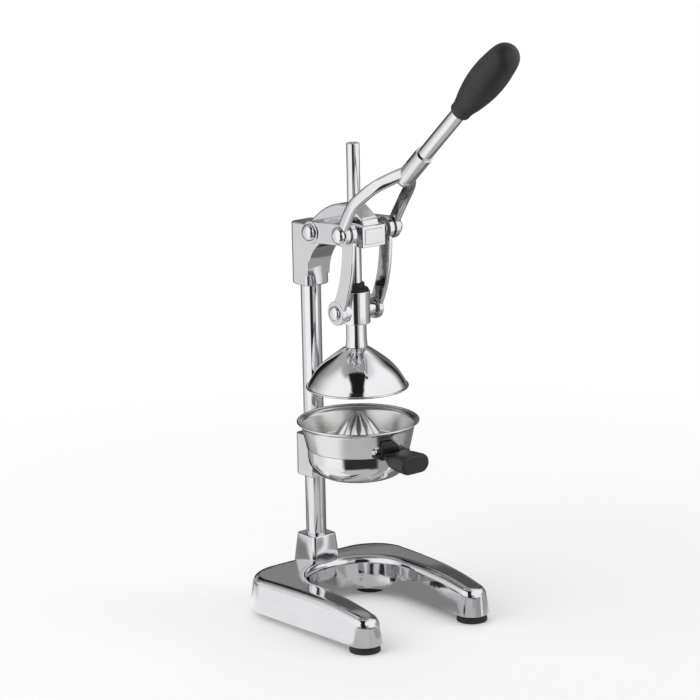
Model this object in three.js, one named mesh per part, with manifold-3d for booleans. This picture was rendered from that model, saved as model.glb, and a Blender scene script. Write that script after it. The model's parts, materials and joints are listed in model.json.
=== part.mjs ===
// Lever citrus juice press, in millimetres, +Z up, front towards -Y.
// The ram, bell, reamer, strainer and funnel share one upright axis, and the column stands behind it.
// It is shown at rest as photographed: the lever half raised, the bell above the strainer.
import * as THREE from 'three';
import { mergeVertices } from 'three/addons/utils/BufferGeometryUtils.js';
import Module from 'manifold-3d';

// Gap between neighbouring pieces, and how far a cutter runs past what it cuts
const gap = 0.3;
const overrun = 2;

// Steps round a full turn
const broadSteps = 36;
const middleSteps = 24;
const smallSteps = 16;
const tinySteps = 10;

// Column and its bolt from below
const columnRadius = 11;
const columnClearance = 1.3;
const columnSeat = 20;
const columnBoltRadius = 4;
const columnBoltGrip = 26;
const columnBoltHeadRadius = 6.5;
const columnBoltHeadHeight = 6;
const columnBoltSocketRadius = 3.4;
const columnBoltSocketDepth = 3;
const columnWasherRadius = 11;
const columnWasherHeight = 1.8;

// Base casting: plan sizes at its lower edge
const baseHalfWidth = 101;
const baseTail = 21;
const legReach = 176;
const legTaper = 9;
const archWeb = 24;
const baseCornerRadius = 50;
const baseWall = 5;
const tipRadius = 18.5;
// Base casting: heights and the inset of its rounded shoulder
const baseCrownRise = 38;
const baseCrownReach = 98;
const baseRearFall = 3;
const baseRearFallLength = 100;
const baseFrontFall = 8.5;
const baseFrontFallLength = 85;
const shoulderInset = 12;
const shoulderRiseShares = [0, 0.5, 0.8, 0.93, 1];
const shoulderInsetShares = [0, 0.14, 0.34, 0.62, 1];
const cornerSteps = 6;
const tipSteps = 8;
const archSteps = 8;

// Column socket on the base
const towerWall = 5;
const towerFlare = 3;
const towerTop = 72.5;
const towerFoot = 42;
const towerChamfer = 3.3;
const socketBossFoot = 14;

// Foot pads and their screws
const padHeight = 8;
const padRadius = 16.6;
const padTopRadius = 15;
const padLip = 2.6;
const padRecessRadius = 5;
const padRecessDepth = 4;
const padBossRadius = 8;
const padScrewRadius = 2;
const padScrewGrip = 12;
const padScrewHeadRadius = 4.2;
const padScrewHeadHeight = 2.4;
const rearPadInset = 43;
const rearPadTail = 42;

// Collar blocks of the head and of the bowl bracket, and their grub screws
const collarWall = 4.5;
const collarCorner = 5;
const grubRadius = 2.5;
const grubLength = 4;
const grubSocketRadius = 1.2;

// Head casting
const headRise = 223;
const headHalf = 15.4;
const headCollarDrop = 57.5;
const headCrownRise = 11;
const headShelfRise = 22.6;
const headNose = 33;
const headArchRadius = 30;
const headBoreRoof = 5;
const headRampFront = 20;
const headRampTail = 34;
const humpHalf = 11;
const humpRise = 41;
const humpTail = 9;
const humpFlat = 6;
const humpFrontFoot = 29;
const humpCurveSteps = 6;
const axleBossRadius = 12;
const badgeHalf = 12;
const badgeInset = 3.2;
const badgeDepth = 1;
const badgeThick = 1.3;

// Ram, its bush and the parts on it
const ramRadius = 7;
const ramTopRise = 106;
const ramSeatDepth = 20;
const ramChamfer = 1.2;
const bushWall = 1.8;
const crossheadRadius = 15.3;
const crossheadAbove = 21.2;
const crossheadBelow = 14;
const trunnionRadius = 9.5;
const bufferHeight = 8.2;
const bufferStep = 4;
const bufferFootRadius = 14.4;
const bufferTopRadius = 9.7;
const neckTopRadius = 10.9;
const neckFootRadius = 11.8;
const neckLength = 25.3;

// Bell: shares run from the hub out to the rim and down
const bellClearance = 1.2;
const bellDepth = 43.2;
const bellWall = 1.6;
const bellBead = 1.7;
const bellRadiusShares = [0.216, 0.343, 0.618, 0.799, 0.935, 1];
const bellDropShares = [0, 0.102, 0.365, 0.6, 0.853, 1];
const bellScrewRadius = 4;
const bellScrewHeadRadius = 8;
const bellScrewHeadHeight = 3;
const bellScrewGrip = 12;

// Linkage: the lever turns on the axle A, the links hang from the cranks B and carry the trunnions C
const leverPivotReach = 29.5;
const leverPivotRise = 11;
const crankLength = 51.2;
const crankLift = 4.7;
const linkLength = 91;
const linkClearance = 6.6;
const linkThick = 6;
const linkHalf = 8.5;
const linkTopBoss = 12;
const linkFootBoss = 13;
const linkBowReach = 23;
const linkBowShare = 0.39;
const linkSteps = 8;

// Pins of the linkage
const pivotRadius = 5;
const axleTapRadius = 3;
const axleTapDepth = 14;
const pivotHeadRadius = 9.5;
const pivotHeadRim = 2.6;
const pivotHeadHeight = 7;
const trunnionBoltHeadRadius = 8.3;
const trunnionBoltRim = 1.8;
const trunnionBoltHeadHeight = 4.7;
const trunnionBoltDepth = 9;
const domeSteps = 3;
const spacerHeight = 1.7;
const spacerRadius = 8;
const barrelFlangeRadius = 8;
const barrelFlangeHeight = 2.4;

// Lever casting
const cheekThick = 4.6;
const cheekBossThick = 6.1;
const cheekRadius = 11.8;
const bossRadius = 12;
const spotFaceMargin = 1.1;
const armHalfWide = 6.8;
const armHalfThick = 4.5;
const armSteps = 14;
const armRoundSteps = 6;
// Route of an arm: how far out it runs, and its forward and upward run from the crank,
// as shares of the way from the crank to the foot of the socket
const armOffset = 3.8;
const armOutShares = [1, 1, 1, 0.88, 0.7, 0.42, 0.12];
const armForwardShares = [0, 0.092, 0.298, 0.498, 0.682, 0.852, 1.06];
const armUpShares = [0.02, 0.185, 0.495, 0.69, 0.85, 0.97, 1.09];
const socketWall = 1.7;
const socketLength = 42;
const socketFloor = 8;
const socketRootSwell = 0.6;
const socketRootSteps = 12;
const socketForward = 65.3;
const socketUp = 65.5;

// Handle tube and grip, along the handle's own line
const handleAngle = 42;
const tubeRadius = 7.8;
const tubeWall = 1.4;
const tubeShown = 75.7;
const tubeInGrip = 72;
const gripLength = 107;
const gripRadius = 18.5;
const gripPlaceShares = [0, 0.05, 0.1, 0.18, 0.28, 0.4, 0.52, 0.64, 0.75, 0.84, 0.91, 0.96, 0.985];
const gripRadiusShares = [0.59, 0.596, 0.645, 0.754, 0.866, 0.962, 1, 0.986, 0.924, 0.858, 0.747, 0.54, 0.305];

// Funnel bowl, with its rim as the height that the strainer and bracket follow
const funnelRim = 187.5;
const funnelRadius = 55;
const funnelWall = 1.5;
const funnelDepth = 32;
const funnelRadiusShares = [1, 0.985, 0.957, 0.86, 0.764];
const funnelDropShares = [0, 0.4, 0.56, 0.8, 0.91];
const spoutRadius = 11;
const spoutDrop = 3;

// Bowl bracket and the screws that hold the funnel to it
const bracketTopRise = -1;
const bracketHeight = 46.5;
const bracketArmLap = 15;
const bracketArmHalf = 12;
const bracketArmDrop = 5.5;
const bracketArmHeight = 36;
const funnelScrewRadius = 2;
const funnelScrewReach = 7.5;
const funnelScrewDrop = 16.1;
const funnelScrewHeadRadius = 3.5;
const funnelScrewHeadHeight = 2;
const funnelScrewGrip = 7;

// Strainer bowl
const strainerRimRise = 29.8;
const strainerRimFlare = 3.3;
const strainerBead = 1.5;
const strainerWall = 1.2;
const strainerTaper = 5.5;
const strainerFlare = 5;
const strainerFootLap = 0.4;
const strainerFootRise = 1.4;
const skirtClearance = 1.8;
const strainerFloorDrop = 10.5;
const drainHoles = 24;
const drainRadius = 1.7;
const drainOuterInset = 4.2;
const drainInnerInset = 9.2;

// Reamer
const reamerMargin = 1.8;
const reamerHeight = 50;
const reamerFlangeWidth = 3;
const reamerFlangeHeight = 2;
const reamerRibs = 10;
const reamerRibShare = 0.09;
const reamerStepsPerRib = 4;
const reamerRiseShares = [0, 0.25, 0.5, 0.72, 0.88, 0.97, 1];
const reamerRadiusShares = [1, 0.86, 0.66, 0.44, 0.24, 0.09, 0];
const reamerScrewRadius = 2.5;
const reamerScrewGrip = 12;
const reamerScrewHeadRadius = 4.5;
const reamerScrewHeadHeight = 2.2;

// Strainer handle: a steel strap on the bowl and a moulded grip over it
const strapHalf = 15.5;
const strapThick = 1.6;
const strapHalfHeight = 3.6;
const strapRise = 7.5;
const strapShift = -8.5;
const padHalf = 11.5;
const padShift = -4.5;
const padThick = 4.4;
const padRise = 10.9;
const padHalfHeight = 8;
const saddleRise = 1.6;
const saddleHeight = 2.8;
const saddleHalf = 23;
const saddleReach = 5.1;
const bowlGripDrop = 11.5;
const bowlGripHalfWide = 18.6;
const bowlGripHalfHigh = 10.4;
const bowlGripBackShare = 0.86;
const bowlGripPlace = 5.5;
const bowlGripLength = 30.6;
const bowlGripRound = 2.5;
const bowlGripSteps = 8;
const bowlNeckHalfWide = 14;
const bowlNeckDrop = 10;

// Sizes and places worked out from the sizes above
const strainerSkirtRadius = funnelRadius - funnelWall - skirtClearance;
const strainerFootRadius = funnelRadius + strainerFootLap;
const strainerTopRadius = strainerFootRadius + strainerTaper;
const strainerRimRadius = strainerTopRadius + strainerRimFlare;
const drainOuter = strainerSkirtRadius - drainOuterInset;
const drainInner = strainerSkirtRadius - drainInnerInset;
const reamerFlange = drainInner - drainRadius - reamerMargin;
const reamerRadius = reamerFlange - reamerFlangeWidth;
const bellRadius = strainerFootRadius - bellClearance;
const bowlGripBack = strainerTopRadius + bowlGripPlace;
const bowlGripFront = bowlGripBack + bowlGripLength;
const columnReach = strainerRimRadius + strainerBead + columnClearance + columnRadius;
const collarHalf = columnRadius + collarWall;
const towerTopHalf = columnRadius + towerWall;
const towerFootHalf = towerTopHalf + towerFlare;
const tipReach = baseHalfWidth - legTaper - tipRadius;
const tipPlace = columnReach - legReach;
const archRadius = tipReach - tipRadius;
const archPlace = columnReach - archWeb - archRadius;
const baseRear = columnReach + baseTail;
const headFloor = funnelRim + headRise;
const linkInner = headHalf + linkClearance;
const linkOuter = linkInner + linkThick;
const cheekInner = linkOuter + spacerHeight + 3 * gap;
const cheekFace = cheekInner + cheekBossThick;
const armSpread = cheekInner + armOffset;
const trunnionReach = linkInner - gap;
const spotFaceRadius = pivotHeadRadius + spotFaceMargin;
const socketRadius = tubeRadius + gap + socketWall;
const bracketArmReach = funnelRadius - bracketArmLap;
const funnelScrewTip = funnelRadius + funnelScrewGrip;
const pivotA = { y: leverPivotReach, z: headFloor + leverPivotRise };
const crankTurn = THREE.MathUtils.degToRad(crankLift);
const pivotB = {
  y: pivotA.y - crankLength * Math.cos(crankTurn),
  z: pivotA.z + crankLength * Math.sin(crankTurn),
};
const pivotC = { y: 0, z: pivotB.z - Math.sqrt(linkLength ** 2 - pivotB.y ** 2) };
const crossheadTop = pivotC.z + crossheadAbove;
const crossheadFoot = pivotC.z - crossheadBelow;
const neckTop = crossheadFoot - gap;
const neckFoot = neckTop - neckLength;
const bellTop = neckFoot - gap;
const ramTop = headFloor + ramTopRise;
const ramFoot = crossheadTop - ramSeatDepth;
const humpTop = headFloor + humpRise;
const columnTop = headFloor + headCrownRise - headBoreRoof - gap;
const bracketTop = funnelRim + bracketTopRise;
const strainerRim = funnelRim + strainerRimRise;
const strainerFoot = funnelRim + gap;
const strainerFloor = funnelRim - strainerFloorDrop;
const reamerFoot = strainerFloor + gap;
const socketFoot = { y: pivotB.y - socketForward, z: pivotB.z + socketUp };
const handleTurn = THREE.MathUtils.degToRad(handleAngle);
const quarterTurn = Math.PI / 2;

const wasm = await Module();
wasm.setup();

// Volume enclosed by a list of triangles, negative where they face inwards
function signedVolume(positions, triangles) {
  let total = 0;
  const a = new THREE.Vector3();
  const b = new THREE.Vector3();
  const c = new THREE.Vector3();
  for (let i = 0; i < triangles.length; i += 3) {
    a.fromArray(positions, 3 * triangles[i]);
    b.fromArray(positions, 3 * triangles[i + 1]);
    c.fromArray(positions, 3 * triangles[i + 2]);
    total += a.dot(b.cross(c)) / 6;
  }
  return total;
}

// A closed three.js geometry as a solid that faces outwards
function solid(geometry) {
  const bare = geometry.clone();
  bare.deleteAttribute('normal');
  bare.deleteAttribute('uv');
  const welded = mergeVertices(bare);
  const vertProperties = new Float32Array(welded.attributes.position.array);
  const triangles = [];
  const index = welded.index.array;
  for (let i = 0; i < index.length; i += 3) {
    const [a, b, c] = [index[i], index[i + 1], index[i + 2]];
    if (a !== b && b !== c && c !== a) triangles.push(a, b, c);
  }
  if (signedVolume(vertProperties, triangles) < 0) triangles.reverse();
  const triVerts = new Uint32Array(triangles);
  return new wasm.Manifold(new wasm.Mesh({ numProp: 3, vertProperties, triVerts }));
}

function geometryOf(body) {
  const mesh = body.getMesh();
  const geometry = new THREE.BufferGeometry();
  geometry.setAttribute('position', new THREE.BufferAttribute(mesh.vertProperties, 3));
  geometry.setIndex(new THREE.BufferAttribute(mesh.triVerts, 1));
  geometry.computeVertexNormals();
  return geometry;
}

// Upright round bar between two heights, at a place in plan
function upright(radius, low, high, steps, x = 0, y = 0) {
  const geometry = new THREE.CylinderGeometry(radius, radius, high - low, steps);
  geometry.rotateX(quarterTurn);
  geometry.translate(x, y, (low + high) / 2);
  return solid(geometry);
}

// Round bar along X between two distances from the middle plane
function crossBar(radius, from, to, steps, place) {
  const geometry = new THREE.CylinderGeometry(radius, radius, Math.abs(to - from), steps);
  geometry.rotateZ(quarterTurn);
  geometry.translate((from + to) / 2, place.y, place.z);
  return solid(geometry);
}

// Round bar along Y between two places
function lengthBar(radius, from, to, steps, x, z) {
  const geometry = new THREE.CylinderGeometry(radius, radius, Math.abs(to - from), steps);
  geometry.translate(x, (from + to) / 2, z);
  return solid(geometry);
}

// Turned body from [radius, height] pairs, about the Z axis
function turned(profile, steps) {
  const points = profile.map(([radius, height]) => new THREE.Vector2(radius, height));
  const geometry = new THREE.LatheGeometry(points, steps);
  geometry.rotateX(quarterTurn);
  return solid(geometry);
}

// Box between two corners
function block(low, high) {
  const geometry = new THREE.BoxGeometry(high[0] - low[0], high[1] - low[1], high[2] - low[2]);
  geometry.translate((low[0] + high[0]) / 2, (low[1] + high[1]) / 2, (low[2] + high[2]) / 2);
  return solid(geometry);
}

// Side outline, drawn with Y across and Z up, made solid between two distances along X
function slab(outline, from, to, curveSegments) {
  const geometry = new THREE.ExtrudeGeometry(outline, {
    depth: to - from,
    bevelEnabled: false,
    curveSegments,
  });
  const side = new THREE.Matrix4().makeBasis(
    new THREE.Vector3(0, 1, 0),
    new THREE.Vector3(0, 0, 1),
    new THREE.Vector3(1, 0, 0),
  );
  geometry.applyMatrix4(side);
  geometry.translate(from, 0, 0);
  return solid(geometry);
}

// Skin over stacked outlines that have equal numbers of points, closed at both ends
function loft(rings) {
  const count = rings[0].length;
  const positions = rings.flat().flatMap((point) => [point.x, point.y, point.z]);
  const triangles = [];
  for (let ring = 0; ring < rings.length - 1; ring += 1) {
    for (let i = 0; i < count; i += 1) {
      const here = ring * count + i;
      const next = ring * count + ((i + 1) % count);
      triangles.push(here, next, next + count, here, next + count, here + count);
    }
  }
  const flat = rings[0].map((point) => new THREE.Vector2(point.x, point.y));
  const lid = THREE.ShapeUtils.triangulateShape(flat, []);
  const clockwise = THREE.ShapeUtils.isClockWise(flat);
  const last = (rings.length - 1) * count;
  for (const [a, b, c] of lid) {
    const [p, q] = clockwise ? [b, c] : [c, b];
    triangles.push(a, p, q, last + a, last + q, last + p);
  }
  const geometry = new THREE.BufferGeometry();
  geometry.setAttribute('position', new THREE.Float32BufferAttribute(positions, 3));
  geometry.setIndex(triangles);
  return solid(geometry);
}

const press = new THREE.Group();
press.name = 'lever_citrus_press';

const chrome = { color: 0xc9cbce, roughness: 0.08, metalness: 1 };
const satinSteel = { color: 0xb4b6b8, roughness: 0.32, metalness: 1 };
const zincSteel = { color: 0x9fa3a6, roughness: 0.4, metalness: 1 };
const bronze = { color: 0xa9824a, roughness: 0.4, metalness: 1 };
const blackPlastic = { color: 0x1d1d1f, roughness: 0.5, metalness: 0 };
const blackRubber = { color: 0x141414, roughness: 0.75, metalness: 0 };

function addPiece(name, body, finish) {
  const mesh = new THREE.Mesh(geometryOf(body), new THREE.MeshStandardMaterial(finish));
  mesh.name = name;
  press.add(mesh);
  return mesh;
}

// The same body on the left and on the right, the second as a mirror image
function addPair(name, makeRight, finish) {
  const right = makeRight();
  addPiece(`${name}_right`, right, finish);
  const mirrored = geometryOf(right).scale(-1, 1, 1);
  addPiece(`${name}_left`, solid(mirrored), finish);
}

// Plan outline of the base, drawn inwards by an inset
function baseOutline(inset) {
  const half = [];
  const corner = { x: baseHalfWidth - baseCornerRadius, y: baseRear - baseCornerRadius };
  for (let i = 0; i <= cornerSteps; i += 1) {
    const turn = quarterTurn * (1 - i / cornerSteps);
    const radius = baseCornerRadius - inset;
    half.push(new THREE.Vector2(corner.x + radius * Math.cos(turn), corner.y + radius * Math.sin(turn)));
  }
  for (let i = 0; i <= tipSteps; i += 1) {
    const turn = -Math.PI * (i / tipSteps);
    const radius = tipRadius - inset;
    half.push(new THREE.Vector2(tipReach + radius * Math.cos(turn), tipPlace + radius * Math.sin(turn)));
  }
  for (let i = 0; i < archSteps; i += 1) {
    const turn = quarterTurn * (i / archSteps);
    const radius = archRadius + inset;
    half.push(new THREE.Vector2(radius * Math.cos(turn), archPlace + radius * Math.sin(turn)));
  }
  const middle = new THREE.Vector2(0, archPlace + archRadius + inset);
  const mirrored = half.map((point) => new THREE.Vector2(-point.x, point.y)).reverse();
  return [...half, middle, ...mirrored];
}

// Height of the base's crown along its length, above the lower edge
function crownRise(y) {
  const place = y - columnReach + baseCrownReach;
  const [fall, length] = place > 0 ? [baseRearFall, baseRearFallLength] : [baseFrontFall, baseFrontFallLength];
  return baseCrownRise - fall * (place / length) ** 2;
}

function baseShell(wall, low) {
  const rings = shoulderRiseShares.map((share, i) => {
    const outline = baseOutline(wall + shoulderInset * shoulderInsetShares[i]);
    return outline.map((point) => {
      const top = padHeight + crownRise(point.y) - wall;
      return new THREE.Vector3(point.x, point.y, low + share * (top - low));
    });
  });
  return loft(rings);
}

function squareRing(half, chamfer, height) {
  const cut = half - chamfer;
  const corners = [
    [half, -cut], [half, cut], [cut, half], [-cut, half],
    [-half, cut], [-half, -cut], [-cut, -half], [cut, -half],
  ];
  return corners.map(([x, y]) => new THREE.Vector3(x, y + columnReach, height));
}

const padPlaces = {
  front_right: [tipReach, tipPlace],
  front_left: [-tipReach, tipPlace],
  rear_right: [baseHalfWidth - rearPadInset, baseRear - rearPadTail],
  rear_left: [rearPadInset - baseHalfWidth, baseRear - rearPadTail],
};

function makeBase() {
  let body = baseShell(0, padHeight);
  body = body.subtract(baseShell(baseWall, padHeight - overrun));
  body = body.add(upright(towerTopHalf, socketBossFoot, towerFoot, middleSteps, 0, columnReach));
  const crownAtColumn = padHeight + crownRise(columnReach) - baseWall;
  body = body.add(loft([
    squareRing(towerFootHalf, towerChamfer, crownAtColumn),
    squareRing(towerFootHalf, towerChamfer, towerFoot),
    squareRing(towerTopHalf, towerChamfer, towerTop),
  ]));
  for (const [x, y] of Object.values(padPlaces)) {
    const roof = padHeight + crownRise(y) - baseWall / 2;
    body = body.add(upright(padBossRadius, padHeight, roof, smallSteps, x, y));
    const tap = padHeight + padScrewGrip + gap;
    body = body.subtract(upright(padScrewRadius + gap, padHeight - overrun, tap, tinySteps, x, y));
  }
  const bore = upright(columnRadius + gap, columnSeat, towerTop + overrun, middleSteps, 0, columnReach);
  const boltHole = upright(
    columnBoltRadius + gap, socketBossFoot - overrun, columnSeat + overrun, smallSteps, 0, columnReach,
  );
  return body.subtract(bore).subtract(boltHole);
}

function addFeet() {
  for (const [place, [x, y]] of Object.entries(padPlaces)) {
    const top = padHeight - gap;
    const pad = turned([
      [padRecessRadius, 0], [padRadius, 0], [padRadius, padLip], [padTopRadius, top],
      [padScrewRadius + gap, top], [padScrewRadius + gap, padRecessDepth],
      [padRecessRadius, padRecessDepth], [padRecessRadius, 0],
    ], middleSteps).translate(x, y, 0);
    addPiece(`foot_pad_${place}`, pad, blackRubber);
    const seat = padRecessDepth - gap;
    const head = upright(padScrewHeadRadius, seat - padScrewHeadHeight, seat, smallSteps, x, y);
    const shank = upright(padScrewRadius, seat - gap, padHeight + padScrewGrip, tinySteps, x, y);
    addPiece(`foot_screw_${place}`, head.add(shank), zincSteel);
  }
}

function addColumn() {
  const tapDepth = columnBoltGrip + gap;
  const foot = columnSeat + gap;
  const bar = upright(columnRadius, foot, columnTop, middleSteps, 0, columnReach);
  const tap = upright(
    columnBoltRadius + gap, foot - overrun, foot + tapDepth, smallSteps, 0, columnReach,
  );
  addPiece('column', bar.subtract(tap), chrome);

  const washerTop = socketBossFoot - gap;
  const washerFoot = washerTop - columnWasherHeight;
  const washer = upright(columnWasherRadius, washerFoot, washerTop, middleSteps, 0, columnReach)
    .subtract(upright(
      columnBoltRadius + gap, washerFoot - overrun, washerTop + overrun, smallSteps, 0, columnReach,
    ));
  addPiece('column_washer', washer, zincSteel);

  const headTop = washerFoot - gap;
  const headFoot = headTop - columnBoltHeadHeight;
  const socket = new THREE.CylinderGeometry(
    columnBoltSocketRadius, columnBoltSocketRadius, columnBoltSocketDepth + overrun, 6,
  );
  socket.rotateX(quarterTurn);
  socket.translate(0, columnReach, headFoot + (columnBoltSocketDepth - overrun) / 2);
  const bolt = upright(columnBoltHeadRadius, headFoot, headTop, smallSteps, 0, columnReach)
    .add(upright(columnBoltRadius, headTop - gap, foot + columnBoltGrip, smallSteps, 0, columnReach))
    .subtract(solid(socket));
  addPiece('column_bolt', bolt, zincSteel);
}

// Collar round the column with rounded rear corners, from one height to another
function collar(low, high, front) {
  const outline = new THREE.Shape();
  const rear = columnReach + collarHalf;
  outline.moveTo(-collarHalf, front);
  outline.lineTo(collarHalf, front);
  outline.lineTo(collarHalf, rear - collarCorner);
  outline.absarc(collarHalf - collarCorner, rear - collarCorner, collarCorner, 0, quarterTurn, false);
  outline.lineTo(collarCorner - collarHalf, rear);
  outline.absarc(
    collarCorner - collarHalf, rear - collarCorner, collarCorner, quarterTurn, Math.PI, false,
  );
  const geometry = new THREE.ExtrudeGeometry(outline, {
    depth: high - low, bevelEnabled: false, curveSegments: 4,
  });
  geometry.translate(0, 0, low);
  return solid(geometry);
}

// Threaded hole through a collar's rear wall, and the grub screw in it
function grubHole(z) {
  const rear = columnReach + collarHalf + overrun;
  return lengthBar(grubRadius + gap, columnReach, rear, tinySteps, 0, z);
}

function addGrub(name, z) {
  const tip = columnReach + columnRadius + gap;
  const screw = lengthBar(grubRadius, tip, tip + grubLength, tinySteps, 0, z);
  const socket = lengthBar(
    grubSocketRadius, tip + grubLength / 2, tip + grubLength + overrun, 6, 0, z,
  );
  addPiece(name, screw.subtract(socket), zincSteel);
}

const headGrubHeights = [headFloor - headCollarDrop / 4, headFloor - headCollarDrop * 3 / 4];

function headSide() {
  const crown = headFloor + headCrownRise;
  const shelf = headFloor + headShelfRise;
  const front = columnReach - collarHalf;
  const outline = new THREE.Shape();
  outline.moveTo(columnReach, headFloor - headArchRadius);
  outline.lineTo(columnReach, crown);
  const rampBack = columnReach - headRampTail;
  const rampMiddle = (rampBack + headRampFront) / 2;
  outline.lineTo(rampBack, crown);
  outline.bezierCurveTo(rampMiddle, crown, rampMiddle, shelf, headRampFront, shelf);
  outline.lineTo(-headNose, shelf);
  outline.lineTo(-headNose, headFloor);
  outline.lineTo(front - headArchRadius, headFloor);
  outline.absarc(
    front - headArchRadius, headFloor - headArchRadius, headArchRadius, quarterTurn, 0, true,
  );
  return outline;
}

function humpSide() {
  const crown = headFloor + headCrownRise - overrun;
  const shelf = headFloor + headShelfRise;
  const outline = new THREE.Shape();
  const humpBack = columnReach - humpTail;
  outline.moveTo(humpBack, crown);
  outline.quadraticCurveTo(humpBack / 2, humpTop, humpFlat, humpTop);
  outline.lineTo(-humpFlat, humpTop);
  outline.lineTo(-humpFrontFoot, shelf);
  outline.lineTo(-humpFrontFoot, shelf - overrun);
  outline.lineTo(headRampFront, crown);
  return outline;
}

function addHead() {
  const crown = headFloor + headCrownRise;
  const shelf = headFloor + headShelfRise;
  let body = collar(headFloor - headCollarDrop, crown, columnReach - collarHalf);
  body = body.add(slab(headSide(), -headHalf, headHalf, humpCurveSteps));
  body = body.add(slab(humpSide(), -humpHalf, humpHalf, humpCurveSteps));
  const bossEnd = cheekInner - gap;
  body = body.add(crossBar(axleBossRadius, -bossEnd, bossEnd, middleSteps, pivotA));
  body = body.subtract(crossBar(pivotRadius + gap, -bossEnd - overrun, bossEnd + overrun, smallSteps, pivotA));
  body = body.subtract(upright(
    columnRadius + gap, headFloor - headCollarDrop - overrun, columnTop + gap, middleSteps, 0, columnReach,
  ));
  const bushOuter = ramRadius + gap + bushWall + gap;
  body = body.subtract(upright(bushOuter, headFloor - overrun, humpTop + overrun, middleSteps));
  for (const z of headGrubHeights) body = body.subtract(grubHole(z));
  body = body.subtract(block(
    [-badgeHalf, -headNose - overrun, headFloor + badgeInset],
    [badgeHalf, badgeDepth - headNose, shelf - badgeInset],
  ));
  addPiece('head_casting', body, chrome);
  addGrub('head_grub_upper', headGrubHeights[0]);
  addGrub('head_grub_lower', headGrubHeights[1]);
  addPiece('badge_plate', block(
    [gap - badgeHalf, badgeDepth - headNose - gap - badgeThick, headFloor + badgeInset + gap],
    [badgeHalf - gap, badgeDepth - headNose - gap, shelf - badgeInset - gap],
  ), satinSteel);
  const bush = upright(ramRadius + gap + bushWall, headFloor, humpTop, middleSteps)
    .subtract(upright(ramRadius + gap, headFloor - overrun, humpTop + overrun, middleSteps));
  addPiece('ram_bush', bush, bronze);
  const axleEnd = cheekFace - gap;
  let axle = crossBar(pivotRadius, -axleEnd, axleEnd, smallSteps, pivotA);
  for (const side of [-1, 1]) {
    const from = side * (axleEnd - axleTapDepth);
    axle = axle.subtract(crossBar(
      axleTapRadius + gap, from, side * (axleEnd + overrun), tinySteps, pivotA,
    ));
  }
  addPiece('lever_axle', axle, zincSteel);
}

// Domed bolt along +X: its head stands on a face, its shank runs back towards the middle plane
function domedBolt(place, face, head, shankRadius, shankEnd) {
  const profile = [[0, -overrun], [shankRadius, -overrun], [shankRadius, 0], [head.radius, 0]];
  for (let i = 0; i <= domeSteps; i += 1) {
    const turn = quarterTurn * (i / domeSteps);
    const rise = head.rim + (head.height - head.rim) * Math.sin(turn);
    profile.push([head.radius * Math.cos(turn), rise]);
  }
  const geometry = new THREE.LatheGeometry(
    profile.map(([radius, height]) => new THREE.Vector2(Math.max(radius, 0), height)), smallSteps,
  );
  geometry.rotateZ(-quarterTurn);
  geometry.translate(face, place.y, place.z);
  return solid(geometry).add(crossBar(shankRadius, shankEnd, face - gap, smallSteps, place));
}

function addPins() {
  const pivotHead = { radius: pivotHeadRadius, rim: pivotHeadRim, height: pivotHeadHeight };
  addPair('axle_bolt', () => domedBolt(
    pivotA, cheekFace + gap, pivotHead, axleTapRadius, cheekFace - axleTapDepth,
  ), chrome);
  const spacerInner = cheekInner - gap - spacerHeight;
  addPair('crank_bolt', () => domedBolt(
    pivotB, cheekFace + gap, pivotHead, pivotRadius, spacerInner + gap,
  ), chrome);
  addPair('crank_spacer', () => crossBar(
    spacerRadius, spacerInner, cheekInner - gap, smallSteps, pivotB,
  ).subtract(crossBar(
    pivotRadius + gap, spacerInner - overrun, cheekInner + overrun, smallSteps, pivotB,
  )), zincSteel);
  const flangeFace = linkInner - gap;
  addPair('crank_nut', () => crossBar(
    barrelFlangeRadius, flangeFace - barrelFlangeHeight, flangeFace, smallSteps, pivotB,
  ).add(crossBar(
    pivotRadius, flangeFace - gap, linkOuter - gap, smallSteps, pivotB,
  )), zincSteel);
  const boltHead = {
    radius: trunnionBoltHeadRadius, rim: trunnionBoltRim, height: trunnionBoltHeadHeight,
  };
  addPair('trunnion_bolt', () => domedBolt(
    pivotC, linkOuter + gap, boltHead, pivotRadius, trunnionReach - trunnionBoltDepth,
  ), chrome);
}

// A link's side outline: a bowed bar between the crank and the trunnion
function linkOutline() {
  const bow = new THREE.QuadraticBezierCurve(
    new THREE.Vector2(pivotB.y, pivotB.z),
    new THREE.Vector2(-linkBowReach, pivotC.z + linkBowShare * (pivotB.z - pivotC.z)),
    new THREE.Vector2(pivotC.y, pivotC.z),
  );
  const front = [];
  const back = [];
  for (let i = 0; i <= linkSteps; i += 1) {
    const point = bow.getPoint(i / linkSteps);
    const along = bow.getTangent(i / linkSteps);
    front.push(new THREE.Vector2(point.x + linkHalf * along.y, point.y - linkHalf * along.x));
    back.push(new THREE.Vector2(point.x - linkHalf * along.y, point.y + linkHalf * along.x));
  }
  return new THREE.Shape([...front, ...back.reverse()]);
}

function makeLink() {
  let body = slab(linkOutline(), linkInner, linkOuter, linkSteps);
  body = body.add(crossBar(linkTopBoss, linkInner, linkOuter, middleSteps, pivotB));
  body = body.add(crossBar(linkFootBoss, linkInner, linkOuter, middleSteps, pivotC));
  for (const pivot of [pivotB, pivotC]) {
    body = body.subtract(crossBar(
      pivotRadius + gap, linkInner - overrun, linkOuter + overrun, smallSteps, pivot,
    ));
  }
  return body;
}

// Side outline of a lever cheek: two round bosses joined by a straight bar
function cheekOutline() {
  const along = new THREE.Vector2(pivotB.y - pivotA.y, pivotB.z - pivotA.z).normalize();
  const across = new THREE.Vector2(-along.y, along.x).multiplyScalar(cheekRadius);
  const a = new THREE.Vector2(pivotA.y, pivotA.z);
  const b = new THREE.Vector2(pivotB.y, pivotB.z);
  return new THREE.Shape([
    a.clone().add(across), b.clone().add(across), b.clone().sub(across), a.clone().sub(across),
  ]);
}

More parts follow.
